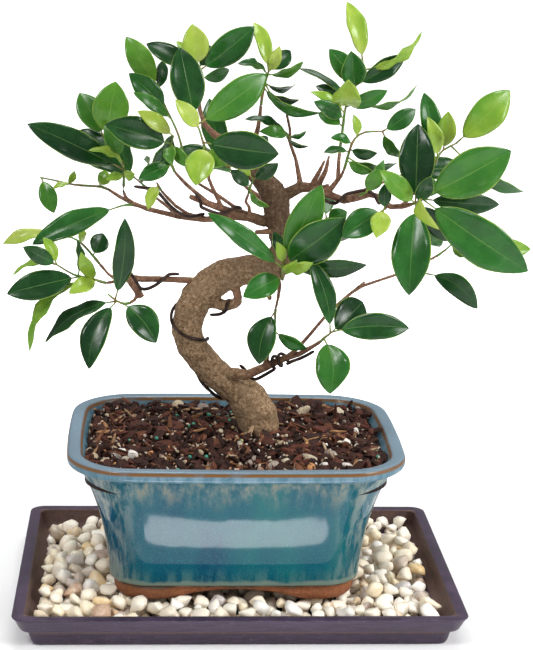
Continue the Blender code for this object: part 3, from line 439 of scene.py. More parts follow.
# %% [markdown]
# The pot is cast and glazed: a wall that flares upward in a slow curve, a rolled lip with a flat
# top, and four soft feet joined by shallow arches. It is drawn up ring by ring like the tray,
# and a subdivision surface melts the corners as glaze does.

# %% Pot profile
POT_LOW, POT_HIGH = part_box("bonsai_pot")
POT_MID = (POT_LOW.x + POT_HIGH.x) / 2
POT_HALF = Vector(((POT_HIGH.x - POT_LOW.x) / 2, (POT_HIGH.y - POT_LOW.y) / 2))
BASE_HALF = Vector((0.075, 0.061))
RIM = POT_HIGH.z
FOOT = POT_LOW.z
GLAZE_LINE = FOOT + 0.0105


def pot_ring(flare, z, inset=0.0):
    """The pot's outline between its base (0) and its rim (1)."""
    half = BASE_HALF.lerp(POT_HALF, flare)
    corner = max(0.022 + 0.012 * flare - inset, 0.004)
    bow = 0.003 * max(flare, 0.3)
    return rounded_ring(half.x - inset, half.y - inset, corner, bow, z, POT_MID)


def arched(ring, depth):
    """A ring whose points rise along the middles of its sides, as the foot's arches do."""
    made = []
    for point in ring:
        x = abs(point.x - POT_MID) / BASE_HALF.x
        y = abs(point.y) / BASE_HALF.y
        along = x if y > x else y
        span = 0.50 if y > x else 0.42
        rise = max(0.0, 1 - (along / span) ** 2) ** 0.8
        made.append(point + Vector((0, 0, depth * rise)))
    return made


def wall_flare(share):
    """How far the wall has flared at a share of its height."""
    return 0.32 * share - 0.08 * share**2 + 0.50 * share**3


def build_pot():
    """The pot's skin from the underside, up the wall, over the lip and down inside."""
    low, high = GLAZE_LINE, RIM - 0.008
    foot = [
        (-0.06, 0.0012, 0.0125, 0.0062), (-0.06, 0.0, 0.0110, 0.0070), (-0.06, 0.0, 0.0050, 0.0075),
        (-0.06, 0.0006, 0.0026, 0.0070), (-0.06, 0.0030, 0.0010, 0.0050), (-0.07, 0.0075, 0.0004, 0.0012),
    ]
    rings = [pot_ring(-0.06, GLAZE_LINE - 0.0005, 0.014)]
    rings += [arched(pot_ring(flare, FOOT + rise, inset), arch) for flare, rise, inset, arch in foot]
    rings.append(pot_ring(-0.07, GLAZE_LINE - 0.0008, 0.0002))
    for share in (0.0, 0.012, 0.03, 0.07, 0.15, 0.25, 0.35, 0.45, 0.55, 0.65, 0.75, 0.83, 0.9, 0.96, 1.0):
        swell = 0.0005 if 0.005 < share < 0.05 else 0.0
        rings.append(pot_ring(wall_flare(share), low + (high - low) * share, -swell))
    lip = [
        (0.80, 0.0076, 0.0), (0.92, 0.0072, 0.0), (0.975, 0.0062, 0.0), (1.0, 0.0046, 0.0),
        (1.0, 0.0022, 0.0), (0.995, 0.0009, 0.0003), (0.98, 0.0002, 0.0008), (0.97, 0.0, 0.0019),
        (1.0, 0.0002, 0.0058), (1.0, 0.0004, 0.0074), (1.0, 0.0011, 0.0084), (1.0, 0.0024, 0.0089),
    ]
    rings += [pot_ring(flare, RIM - drop, inset) for flare, drop, inset in lip]
    for share in (0.94, 0.8, 0.6, 0.4, 0.2):
        rings.append(pot_ring(wall_flare(share), low + (high - low) * share, 0.006))
    bm = wrap_rings(rings)[0]
    piece = finish_piece("pot", bm, [pot_glaze()], ["bonsai_pot"])
    melt = piece.modifiers.new("melt", "SUBSURF")
    melt.levels = melt.render_levels = 1
    return piece


# %% [markdown]
# The glaze changes with height. It breaks to brown on the lip's edges, lies pale and blue on its
# flat top, runs in olive streaks below it, deepens to a speckled teal, and stops in a bead of
# grey-green above bare clay. Each band is a smooth step of height, roughened by noise, so the
# bands follow the pot from every side.

# %% Glaze


def pot_glaze():
    """A broken, speckled teal glaze over bare clay."""
    material, shader, coords = new_finish("pot_glaze", 0.12, Specular_IOR_Level=0.42)
    x, y, z = axes_of(coords)
    wobble = speckle(coords, 60.0, 3.0, 0.55)
    flow = stretched(coords, (1.0, 1.0, 0.22))
    runs = speckle(flow, 150.0, 5.0, 0.62)
    broad = speckle(flow, 38.0, 3.0, 0.5)
    fine = speckle(coords, 1500.0, 3.0, 0.7)
    cells = add_node(coords.id_data, "ShaderNodeTexVoronoi", {"Vector": coords}, Scale=900.0).outputs[0]
    drift = plus(z, times(minus(wobble, 0.5), 0.007))

    deep = ramp(broad, [
        (0.30, (0.003, 0.048, 0.092)), (0.50, (0.004, 0.070, 0.104)), (0.70, (0.005, 0.098, 0.108)),
    ])
    dots = ramp(fine, [(0.50, grey(0)), (0.66, grey(1))])
    body = mix(times(dots, 0.42), deep, (0.025, 0.215, 0.245))
    pits = ramp(cells, [(0.05, grey(1)), (0.22, grey(0))])
    body = mix(times(pits, 0.35), body, (0.008, 0.075, 0.110))

    high = between(drift, RIM - 0.030, RIM - 0.010)
    streaked = ramp(runs, [
        (0.36, (0.020, 0.110, 0.150)), (0.50, (0.100, 0.165, 0.170)), (0.62, (0.210, 0.210, 0.165)),
    ])
    body = mix(times(high, between(runs, 0.38, 0.60, 0.20, 0.90)), body, streaked)
    low_band = between(drift, GLAZE_LINE + 0.014, GLAZE_LINE + 0.002)
    body = mix(times(low_band, between(runs, 0.40, 0.62, 0.0, 0.8)), body, (0.070, 0.165, 0.160))

    off_middle = size_of(minus(x, POT_MID))
    near_corner = times(between(off_middle, 0.052, 0.080), between(size_of(y), 0.030, 0.056))
    corner = times(near_corner, between(runs, 0.42, 0.60))
    body = mix(times(corner, 0.8), body, (0.250, 0.290, 0.270))

    lip = between(z, RIM - 0.0085, RIM - 0.0070)
    lip_color = ramp(runs, [(0.35, (0.045, 0.130, 0.180)), (0.65, (0.120, 0.210, 0.270))])
    lip_color = mix(times(dots, 0.35), lip_color, (0.190, 0.300, 0.350))
    body = mix(lip, body, lip_color)
    top = between(z, RIM - 0.0014, RIM - 0.0003)
    top_color = mix(times(dots, 0.5), (0.140, 0.210, 0.265), (0.270, 0.340, 0.400))
    body = mix(top, body, top_color)
    edge = times(between(z, RIM - 0.0034, RIM - 0.0022), between(z, RIM - 0.0004, RIM - 0.0012))
    rust = times(edge, between(wobble, 0.30, 0.50, 0.55, 1.0))
    body = mix(rust, body, (0.150, 0.070, 0.022))

    below_bead = between(drift, GLAZE_LINE + 0.0042, GLAZE_LINE + 0.0020)
    bead = times(between(drift, GLAZE_LINE - 0.0012, GLAZE_LINE), below_bead)
    body = mix(bead, body, (0.150, 0.210, 0.175))
    below_scorch = between(z, GLAZE_LINE + 0.0010, GLAZE_LINE)
    scorch = times(between(z, GLAZE_LINE - 0.0020, GLAZE_LINE - 0.0008), below_scorch)
    body = mix(scorch, body, (0.075, 0.045, 0.030))

    clay_mask = between(drift, GLAZE_LINE - 0.0004, GLAZE_LINE - 0.0014)
    clay_mask = times(clay_mask, between(z, GLAZE_LINE + 0.0020, GLAZE_LINE + 0.0010))
    grog = speckle(coords, 700.0, 4.0, 0.65)
    clay = ramp(grog, [(0.3, (0.220, 0.070, 0.026)), (0.7, (0.380, 0.140, 0.058))])
    clay = mix(between(wobble, 0.35, 0.65, 0.0, 0.35), clay, (0.150, 0.070, 0.036))
    color = mix(clay_mask, body, clay)
    feed(shader, "Base Color", color)
    matt = times(high, between(off_middle, 0.062, 0.084, 0.0, 0.45))
    rough = plus(between(clay_mask, 0.3, 0.8, 0.035, 0.75), matt)
    feed(shader, "Roughness", rough)
    waves = plus(times(runs, 0.03), times(broad, 0.9))
    height = plus(times(grog, clay_mask), waves)
    bump(shader, height, 0.22, 0.0006)
    return material


build_pot()

# %% [markdown]
# The pebbles are loose, so they are dropped rather than drawn. Each is a ball that falls and
# pushes its neighbours aside until the bed is packed, with the tray's walls and the pot's base
# as limits. A tumbled stone then takes each ball's place.

# %% Settle the pebbles
STONES = 900
BED_HALF = np.array([0.1205, 0.0830])
BED_FLOOR = 0.0027
HEAP_TOP = 0.0215


def settle_balls(places, radii, walls, floor, ceiling, rounds=90, drop=0.0007):
    """Balls that fall and part until they are packed. ceiling(places) is how high each may reach."""
    for turn in range(rounds):
        places[:, 2] -= drop * (1 - turn / rounds)
        tree = KDTree(len(places))
        for index, place in enumerate(places):
            tree.insert(place, index)
        tree.balance()
        push = np.zeros_like(places)
        for index, place in enumerate(places):
            for _, other, gap in tree.find_range(place, radii[index] + radii.max()):
                reach = (radii[index] + radii[other]) * 0.94
                if other <= index or gap >= reach or gap < 1e-7:
                    continue
                away = (place - places[other]) / gap * (reach - gap) * 0.5
                push[index] += away
                push[other] -= away
        places += push
        places[:, 0] = np.clip(places[:, 0], radii - walls[0], walls[0] - radii)
        places[:, 1] = np.clip(places[:, 1], radii - walls[1], walls[1] - radii)
        places[:, 2] = np.clip(places[:, 2], floor + radii * 0.8, ceiling(places) - radii * 0.8)
    return places


def pebble_ceiling(places):
    """Stones lie under the pot's feet, rise in its arches and heap a little outside them."""
    across, deep = np.abs(places[:, 0] - POT_MID), np.abs(places[:, 1])
    inside = (across < BASE_HALF.x - 0.001) & (deep < BASE_HALF.y - 0.001)
    arch = (across < 0.034) & (deep > BASE_HALF.y - 0.010)
    return np.where(inside & ~arch, FOOT - 0.0002, np.where(inside, FOOT + 0.0046, HEAP_TOP))


def pebble_spots():
    """Seeded places and sizes for the stones."""
    source = np.random.default_rng(11)
    radii = source.uniform(0.0034, 0.0068, STONES)
    spans = ((-BED_HALF[0], BED_HALF[0]), (-BED_HALF[1], BED_HALF[1]), (0.004, 0.018))
    places = np.column_stack([source.uniform(*span, STONES) for span in spans])
    under = (np.abs(places[:, 0] - POT_MID) < 0.052) & (np.abs(places[:, 1]) < 0.040)
    places, radii = places[~under], radii[~under]
    return settle_balls(places, radii, BED_HALF, BED_FLOOR, pebble_ceiling), radii


pebble_places, pebble_radii = pebble_spots()
print("pebbles", len(pebble_places))

# %% [markdown]
# A tumbled stone starts as an icosphere. A few flattening planes chosen by a seeded generator
# give it faces, and rounding the result wears them down. A dozen different stones, turned and
# stretched, are enough for a bed in which no two look alike.

# %% Stones
AXES = {"use_axis_x": True, "use_axis_y": True, "use_axis_z": True}


def stone_shape(seed, faces, wear=0.5, detail=2):
    """A worn stone of about unit radius."""
    source = random.Random(seed)
    bm = bmesh.new()
    bmesh.ops.create_icosphere(bm, subdivisions=detail, radius=1.0)
    for _ in range(faces):
        facing = Vector((source.gauss(0, 1), source.gauss(0, 1), source.gauss(0, 1))).normalized()
        level = source.uniform(0.46, 0.78)
        for vert in bm.verts:
            over = vert.co.dot(facing) - level
            if over > 0:
                vert.co -= facing * over * 0.94
    bmesh.ops.smooth_vert(bm, verts=bm.verts, factor=wear, **AXES)
    return bm


def scatter(shapes, spots):
    """One bmesh of shapes at spots of (shape, matrix, tone). The tone goes to a point attribute."""
    made = bmesh.new()
    tone = made.verts.layers.float.new("tone")
    for shape, matrix, value in spots:
        before = len(made.verts)
        made.from_mesh(shapes[shape % len(shapes)])
        made.verts.ensure_lookup_table()
        fresh = made.verts[before:]
        bmesh.ops.transform(made, matrix=matrix, verts=fresh)
        for vert in fresh:
            vert[tone] = value
    return made


def meshes_of(bms):
    """Meshes of several bmeshes, which it then frees."""
    meshes = []
    for bm in bms:
        mesh = bpy.data.meshes.new("shape")
        bm.to_mesh(mesh)
        bm.free()
        meshes.append(mesh)
    return meshes


def turned(source, spot, size, lean):
    """A matrix that places a shape, turned at random and scaled along its own axes."""
    spin = Matrix.Rotation(source.uniform(0, math.tau), 4, "Z")
    tilt = Matrix.Rotation(lean(), 4, "X") @ Matrix.Rotation(lean(), 4, "Y")
    return Matrix.Translation(spot) @ spin @ tilt @ Matrix.Diagonal((*size, 1))


def rolled(source, spot, size):
    """The same for a stone, which lies no steeper than 35 degrees."""
    return turned(source, spot, size, lambda: source.uniform(-0.6, 0.6))


def build_pebbles():
    """The bed of stones."""
    source = random.Random(5)
    shapes = meshes_of([stone_shape(seed, 13, 0.12) for seed in range(14)])
    spots = []
    for place, radius in zip(pebble_places, pebble_radii):
        size = [radius * source.uniform(*span) for span in ((1.10, 1.50), (0.95, 1.18), (0.78, 1.02))]
        warm = 0.30 if place[0] < -0.06 and place[1] > -0.05 else 0.11
        tone = source.uniform(0.62, 1.0) if source.random() < warm else source.uniform(0.0, 0.60)
        spots.append((source.randrange(14), rolled(source, place, size), tone))
    bm = scatter(shapes, spots)
    return finish_piece("pebbles", bm, [quartz()], ["pebble_bed"])


def quartz():
    """Milky quartz: mostly white and cream, some amber, rose-brown and grey-lilac, with painted shade on
    stones low in the bed.
    """
    material, shader, coords = new_finish(
        "pebble_quartz", 0.33, Subsurface_Weight=0.12, Subsurface_Scale=0.002,
        Subsurface_Radius=(1.0, 0.8, 0.6),
    )
    tone = painted(shader, "tone")
    whites = [
        (0.0, (0.97, 0.90, 0.79)), (0.15, (0.94, 0.82, 0.64)), (0.30, (0.98, 0.94, 0.88)),
        (0.45, (0.93, 0.79, 0.56)), (0.60, (0.96, 0.89, 0.77)), (0.66, (0.82, 0.58, 0.27)),
        (0.74, (0.60, 0.56, 0.55)), (0.82, (0.62, 0.38, 0.22)), (0.90, (0.50, 0.42, 0.38)),
        (0.97, (0.76, 0.60, 0.38)),
    ]
    base = ramp(tone, whites, smooth=False)
    clouds = speckle(coords, 240.0, 5.0, 0.6)
    base = mix(between(clouds, 0.45, 0.75, 0.0, 0.45), base, (0.98, 0.92, 0.83))
    stains = speckle(coords, 420.0, 4.0, 0.7)
    base = mix(between(stains, 0.60, 0.78, 0.0, 0.45), base, (0.62, 0.46, 0.28))
    # Painted shade: the lower a stone lies in the bed, the more its colour is darkened toward brown.
    depth = between(axes_of(coords)[2], 0.005, 0.0125, 0.45, 0.0)
    base = mix(depth, base, (0.42, 0.30, 0.18))
    feed(shader, "Base Color", base)
    feed(shader, "Roughness", between(clouds, 0.3, 0.7, 0.22, 0.42))
    bump(shader, stains, 0.30, 0.0006)
    return material


build_pebbles()

# %% [markdown]
# Bonsai soil is a mix of bark chips, grit and dust. A dark, lumpy ground closes every gap. Flat
# bark chips, angular grit, a few pale stones, white pumice and green feed beads lie on it.

# %% Soil ground
SOIL_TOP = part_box("soil")[1].z
SOIL_EDGE = SOIL_TOP - 0.0030


def soil_level(x, y):
    """The level of the ground at a point: a low mound with lumps."""
    away = max(abs(x - POT_MID) / 0.092, abs(y) / 0.072)
    lumps = noise.fractal(Vector((x, y, 0.3)) * 70, 0.8, 2.2, 4)
    return SOIL_EDGE + 0.0026 * (1 - min(away, 1.0) ** 2) + 0.0009 * lumps


def build_ground():
    """The ground between the walls."""
    rings = []
    for share in (1.0, 0.95, 0.9, 0.8, 0.7, 0.6, 0.5, 0.4, 0.3, 0.2, 0.1):
        ring = rounded_ring(0.0905 * share, 0.0705 * share, 0.026 * share, 0.002 * share, 0.0, POT_MID)
        rings.append([Vector((p.x, p.y, soil_level(p.x, p.y) - 0.0012)) for p in ring])
    sunk = [Vector((p.x, p.y, SOIL_EDGE - 0.012)) for p in rings[0]]
    bm = wrap_rings([sunk] + rings)[0]
    return finish_piece("soil_ground", bm, [bark_mix()], ["soil"])


def bark_mix():
    """Bark, from near black through red-brown to tan, chosen by each chip's tone."""
    material, shader, coords = new_finish("bark_chips", 0.75, Specular_IOR_Level=0.2)
    tone = painted(shader, "tone")
    stops = [
        (0.0, (0.012, 0.006, 0.005)), (0.35, (0.030, 0.012, 0.009)), (0.55, (0.064, 0.022, 0.015)),
        (0.68, (0.130, 0.040, 0.024)), (0.78, (0.230, 0.098, 0.045)), (0.88, (0.420, 0.220, 0.100)),
        (1.0, (0.560, 0.440, 0.300)),
    ]
    base = ramp(tone, stops, smooth=False)
    fibres = speckle(stretched(coords, (1.0, 0.35, 1.0)), 1500.0, 4.0, 0.7)
    base = mix(between(fibres, 0.35, 0.70, 0.0, 0.55), base, (0.010, 0.006, 0.005))
    dust = speckle(coords, 900.0, 3.0, 0.6)
    base = mix(between(dust, 0.60, 0.72, 0.0, 0.35), base, (0.230, 0.150, 0.100))
    feed(shader, "Base Color", base)
    feed(shader, "Roughness", between(fibres, 0.3, 0.7, 0.55, 0.9))
    bump(shader, fibres, 0.6, 0.0008)
    return material


build_ground()

# %% Chips, grit, stones and beads


def chip_shape(seed):
    """A flat splinter of bark: a cube cut into cells and pulled to an uneven outline."""
    source = random.Random(seed)
    bm = bmesh.new()
    bmesh.ops.create_cube(bm, size=2.0)
    bmesh.ops.subdivide_edges(bm, edges=bm.edges[:], cuts=1, use_grid_fill=True, smooth=0.25)
    for vert in bm.verts:
        vert.co += Vector([source.uniform(-0.26, 0.26) for _ in range(3)])
        vert.co.x *= 1 - 0.25 * abs(vert.co.y)
    return bm


def inside_pot(source, margin=0.0008):
    """A seeded spot on the soil, clear of the wall and the trunk."""
    while True:
        x = POT_MID + source.uniform(-0.0885, 0.0885)
        y = source.uniform(-0.0685, 0.0685)
        dx, dy = max(abs(x - POT_MID) - 0.062, 0), max(abs(y) - 0.042, 0)
        if math.hypot(dx, dy) < 0.0265 - margin and math.hypot(x - 0.0135, y - 0.012) > 0.0125:
            return x, y


def chip_spots(source, count, sizes, tones, lift, tilt):
    """Spots of pieces with sizes as ranges of half length, half width and half thickness."""
    spots = []
    for number in range(count):
        x, y = inside_pot(source)
        size = [source.uniform(*span) for span in sizes]
        matrix = turned(source, (x, y, soil_level(x, y) + lift), size, lambda: source.gauss(0, tilt))
        matrix.translation.z += source.uniform(-0.0008, 0.0012)
        spots.append((number, matrix, source.uniform(*tones)))
    return spots


def build_chips():
    """Bark chips in four sizes, the smallest and darkest lowest."""
    source = random.Random(21)
    shapes = meshes_of([chip_shape(seed) for seed in range(12)])
    kinds = [
        (1500, [(0.0010, 0.0024), (0.0008, 0.0016), (0.0004, 0.0009)], (0.20, 0.62), 0.0, 0.7),
        (420, [(0.0022, 0.0048), (0.0014, 0.0028), (0.0005, 0.0010)], (0.30, 0.74), 0.0006, 0.5),
        (130, [(0.0030, 0.0075), (0.0005, 0.0011), (0.0003, 0.0006)], (0.60, 0.97), 0.0012, 0.5),
        (46, [(0.0042, 0.0075), (0.0024, 0.0036), (0.0007, 0.0012)], (0.35, 0.70), 0.0010, 0.25),
    ]
    spots = [spot for kind in kinds for spot in chip_spots(source, *kind)]
    bm = scatter(shapes, spots)
    return finish_piece("soil_chips", bm, [bpy.data.materials["bark_chips"]], smooth=False)


def grit_finish():
    """Pale grit: beige stone, pumice and grey shards, by tone."""
    material, shader, coords = new_finish("pale_grit", 0.8, Specular_IOR_Level=0.2)
    tone = painted(shader, "tone")
    stops = [
        (0.0, (0.300, 0.200, 0.120)), (0.25, (0.520, 0.420, 0.290)), (0.45, (0.640, 0.560, 0.420)),
        (0.62, (0.260, 0.210, 0.190)), (0.78, (0.560, 0.260, 0.100)), (0.90, (0.780, 0.740, 0.680)),
    ]
    base = ramp(tone, stops, smooth=False)
    pores = speckle(coords, 850.0, 4.0, 0.7)
    base = mix(between(pores, 0.50, 0.66, 0.0, 0.6), base, (0.150, 0.100, 0.070))
    feed(shader, "Base Color", base)
    bump(shader, pores, 0.7, 0.0010)
    return material


def build_grit():
    """Small shards everywhere, and the larger stones at their own places."""
    source = random.Random(33)
    shapes = meshes_of([stone_shape(seed, 9, 0.12) for seed in range(40, 50)])
    kinds = [
        (520, [(0.0007, 0.0019), (0.0006, 0.0015), (0.0005, 0.0012)], (0.0, 1.0), 0.0008, 1.0),
        (70, [(0.0018, 0.0032), (0.0014, 0.0024), (0.0010, 0.0018)], (0.0, 0.78), 0.0010, 1.0),
    ]
    spots = [spot for kind in kinds for spot in chip_spots(source, *kind)]
    stones = [
        (0.044, 0.048, 0.0068, 0.30), (0.067, 0.050, 0.0050, 0.40), (-0.072, -0.040, 0.0055, 0.95),
        (-0.064, -0.042, 0.0050, 0.93), (0.026, -0.052, 0.0052, 0.44), (0.040, -0.046, 0.0050, 0.36),
        (0.017, -0.058, 0.0042, 0.58), (0.048, -0.057, 0.0036, 0.90), (0.033, -0.062, 0.0040, 0.60),
        (-0.036, 0.060, 0.0052, 0.28), (0.062, -0.056, 0.0034, 0.92), (0.070, -0.052, 0.0030, 0.50),
        (-0.086, -0.040, 0.0040, 0.20), (0.054, -0.040, 0.0040, 0.60), (-0.014, 0.050, 0.0050, 0.12),
        (0.004, -0.052, 0.0032, 0.58), (-0.006, -0.044, 0.0040, 0.15), (-0.020, 0.058, 0.0045, 0.62),
        (-0.054, -0.036, 0.0030, 0.78), (0.040, -0.060, 0.0036, 0.78), (-0.080, -0.052, 0.0040, 0.24),
        (0.074, 0.010, 0.0032, 0.90), (0.066, -0.012, 0.0030, 0.92), (0.010, -0.062, 0.0030, 0.66),
    ]
    for number, (x, y, radius, tone) in enumerate(stones):
        size = [radius * source.uniform(*span) for span in ((1.0, 1.3), (0.8, 1.0), (0.6, 0.8))]
        spots.append((number, rolled(source, (x, y, soil_level(x, y) + radius * 0.25), size), tone))
    bm = scatter(shapes, spots)
    return finish_piece("soil_grit", bm, [grit_finish()], smooth=False)


def build_beads():
    """Coated feed beads, green and amber."""
    source = random.Random(8)
    bm = bmesh.new()
    for number in range(26):
        x, y = inside_pot(source)
        if number < 14:
            x, y = -0.020 + source.gauss(0, 0.016), 0.030 + source.gauss(0, 0.012)
        spot = Matrix.Translation((x, y, soil_level(x, y) + 0.0018))
        bmesh.ops.create_icosphere(bm, subdivisions=2, radius=source.uniform(0.0010, 0.0014), matrix=spot)
    material, shader, coords = new_finish("feed_bead", 0.3)
    patches = speckle(coords, 90.0, 1.0, 0.5)
    flecks = speckle(coords, 2400.0, 2.0, 0.5)
    base = ramp(patches, [(0.56, (0.020, 0.230, 0.150)), (0.60, (0.520, 0.240, 0.060))])
    base = mix(between(flecks, 0.5, 0.7, 0.0, 0.4), base, (0.350, 0.420, 0.330))
    feed(shader, "Base Color", base)
    return finish_piece("soil_beads", bm, [material])


build_chips()
build_grit()
build_beads()

# %% [markdown]
# The trunk came out of the frame as clean tubes joined end to end. Real wood swells where limbs
# meet. A voxel remesh turns the tubes into one even skin, a few rounds of smoothing fill the
# forks, and noise along the normals raises the lumps and pits of old bark. A ray sent inward
# from each point measures how thick the wood is there, so thick wood gets deep bark and pale
# colour, and twigs stay smooth and red-brown.

# %% Wood


def remeshed(name, bm, voxel):
    """A bmesh as one even voxel skin."""
    mesh = bpy.data.meshes.new(name)
    bm.to_mesh(mesh)
    bm.free()
    helper = bpy.data.objects.new(name, mesh)
    bpy.context.scene.collection.objects.link(helper)
    remesh = helper.modifiers.new("skin", "REMESH")
    remesh.mode = "VOXEL"
    remesh.voxel_size = voxel
    bpy.context.view_layer.update()
    evaluated = helper.evaluated_get(bpy.context.evaluated_depsgraph_get())
    made = bmesh.new()
    made.from_mesh(evaluated.to_mesh())
    evaluated.to_mesh_clear()
    bpy.data.objects.remove(helper)
    bpy.data.meshes.remove(mesh)
    return made


def wood_thickness(bm):
    """How thick the wood is behind each point, in metres."""
    bm.normal_update()
    tree = BVHTree.FromBMesh(bm)
    found = []
    for vert in bm.verts:
        hit = tree.ray_cast(vert.co - vert.normal * 1e-5, -vert.normal, 0.05)
        found.append(hit[3] if hit[0] else 0.002)
    return found


def build_wood():
    """Trunk, limbs and twigs in one skin of bark."""
    bm = remeshed("wood", copy_of_node("tree_wood"), 0.00062)
    for _ in range(5):
        bmesh.ops.smooth_vert(bm, verts=bm.verts, factor=0.5, **AXES)
    thickness = wood_thickness(bm)
    layer = bm.verts.layers.float.new("girth")
    moves = []
    for vert, thick in zip(bm.verts, thickness):
        girth = min(max((thick - 0.0035) / 0.0115, 0.0), 1.0)
        vert[layer] = girth
        place = vert.co
        lumps = noise.fractal(place * 95, 0.9, 2.0, 2) * (0.00010 + 0.00095 * girth)
        pits = min(noise.fractal(place * 420, 0.8, 2.1, 3), 0.25) * (0.00008 + 0.00034 * girth)
        shrink = 0.00018 * (1 - girth)
        moves.append(vert.normal * (lumps + pits + shrink))
    for vert, move in zip(bm.verts, moves):
        vert.co += move
    return finish_piece("wood", bm, [bark()], ["tree_wood"], outward=False)


def bark():
    """Taupe bark with dark pits on thick wood, smooth red-brown skin on twigs."""
    material, shader, coords = new_finish("bark", 0.8, Specular_IOR_Level=0.25)
    girth = painted(shader, "girth")
    patches = speckle(coords, 75.0, 4.0, 0.6)
    grain = speckle(coords, 520.0, 6.0, 0.72)
    pores = speckle(coords, 1250.0, 2.0, 0.6)
    old = ramp(grain, [
        (0.30, (0.052, 0.030, 0.015)), (0.44, (0.175, 0.104, 0.053)), (0.56, (0.330, 0.214, 0.120)),
        (0.70, (0.560, 0.410, 0.250)),
    ])
    old = mix(between(patches, 0.42, 0.62, 0.0, 0.55), old, (0.240, 0.160, 0.090))
    old = mix(between(pores, 0.58, 0.72, 0.0, 0.6), old, (0.620, 0.520, 0.380))
    upper = ramp(grain, [
        (0.30, (0.045, 0.024, 0.014)), (0.52, (0.130, 0.078, 0.045)), (0.70, (0.270, 0.190, 0.120)),
    ])
    old = mix(between(axes_of(coords)[2], 0.190, 0.226), old, upper)
    young = ramp(grain, [
        (0.32, (0.085, 0.036, 0.022)), (0.52, (0.200, 0.098, 0.056)), (0.70, (0.400, 0.240, 0.150)),
    ])
    color = mix(between(girth, 0.04, 0.36), young, old)
    feed(shader, "Base Color", color)
    feed(shader, "Roughness", between(girth, 0.0, 0.3, 0.5, 0.85))
    height = plus(grain, times(pores, 0.5))
    bump(shader, height, 0.75, 0.0009)
    return material


build_wood()

# %% [markdown]
# Training wire is soft anodised metal, wound on by hand. The frame already has its windings as
# square tubes. Subdividing them makes the section round and the bends smooth, and a small push
# along the normals gives back the thickness that smoothing takes.

# %% Wires


def build_wires():
    """Each winding as a round wire."""
    finish = wire_finish()
    for name in sorted(nodes):
        if not name.startswith("wire_"):
            continue
        bm = copy_of_node(name)
        bmesh.ops.dissolve_limit(bm, angle_limit=math.radians(1), verts=bm.verts, edges=bm.edges)
        bmesh.ops.triangulate(bm, faces=[f for f in bm.faces if len(f.verts) > 4])
        piece = finish_piece(name + "_wound", bm, [finish], [name])
        round_off = piece.modifiers.new("round", "SUBSURF")
        round_off.levels = round_off.render_levels = 2
        swell = piece.modifiers.new("swell", "DISPLACE")
        swell.mid_level = 0.0
        swell.strength = 0.00042


def wire_finish():
    """Dark brown anodised aluminium, scuffed in places."""
    material, shader, coords = new_finish("training_wire", 0.42, Metallic=0.7)
    scuffs = speckle(coords, 300.0, 4.0, 0.6)
    base = ramp(scuffs, [
        (0.35, (0.020, 0.012, 0.010)), (0.60, (0.060, 0.034, 0.026)), (0.75, (0.150, 0.095, 0.075)),
    ])
    feed(shader, "Base Color", base)
    feed(shader, "Roughness", between(scuffs, 0.3, 0.7, 0.32, 0.6))
    bump(shader, scuffs, 0.2, 0.0003)
    return material


build_wires()

# %% [markdown]
# The leaves are set out as an elevation drawing in millimetres: x runs right, z runs up from the
# drawing's base line, and near brings a point toward the drawing's station point. Each shoot has
# its stem's points, from the twig on, and its leaves as (place along the stem, tip x, tip z,
# tip near, width, roll, bow, sweep, tone). Tone runs from 0, an old dark leaf, to 1, a young
# yellow-green one.

# %% The drawing of the shoots
STATION = Vector((-57.8, -1040.0, 343.2))
DRAWING_BASE = Vector((0, 0, RIM - 0.009))
EYE = STATION * 0.001 + DRAWING_BASE

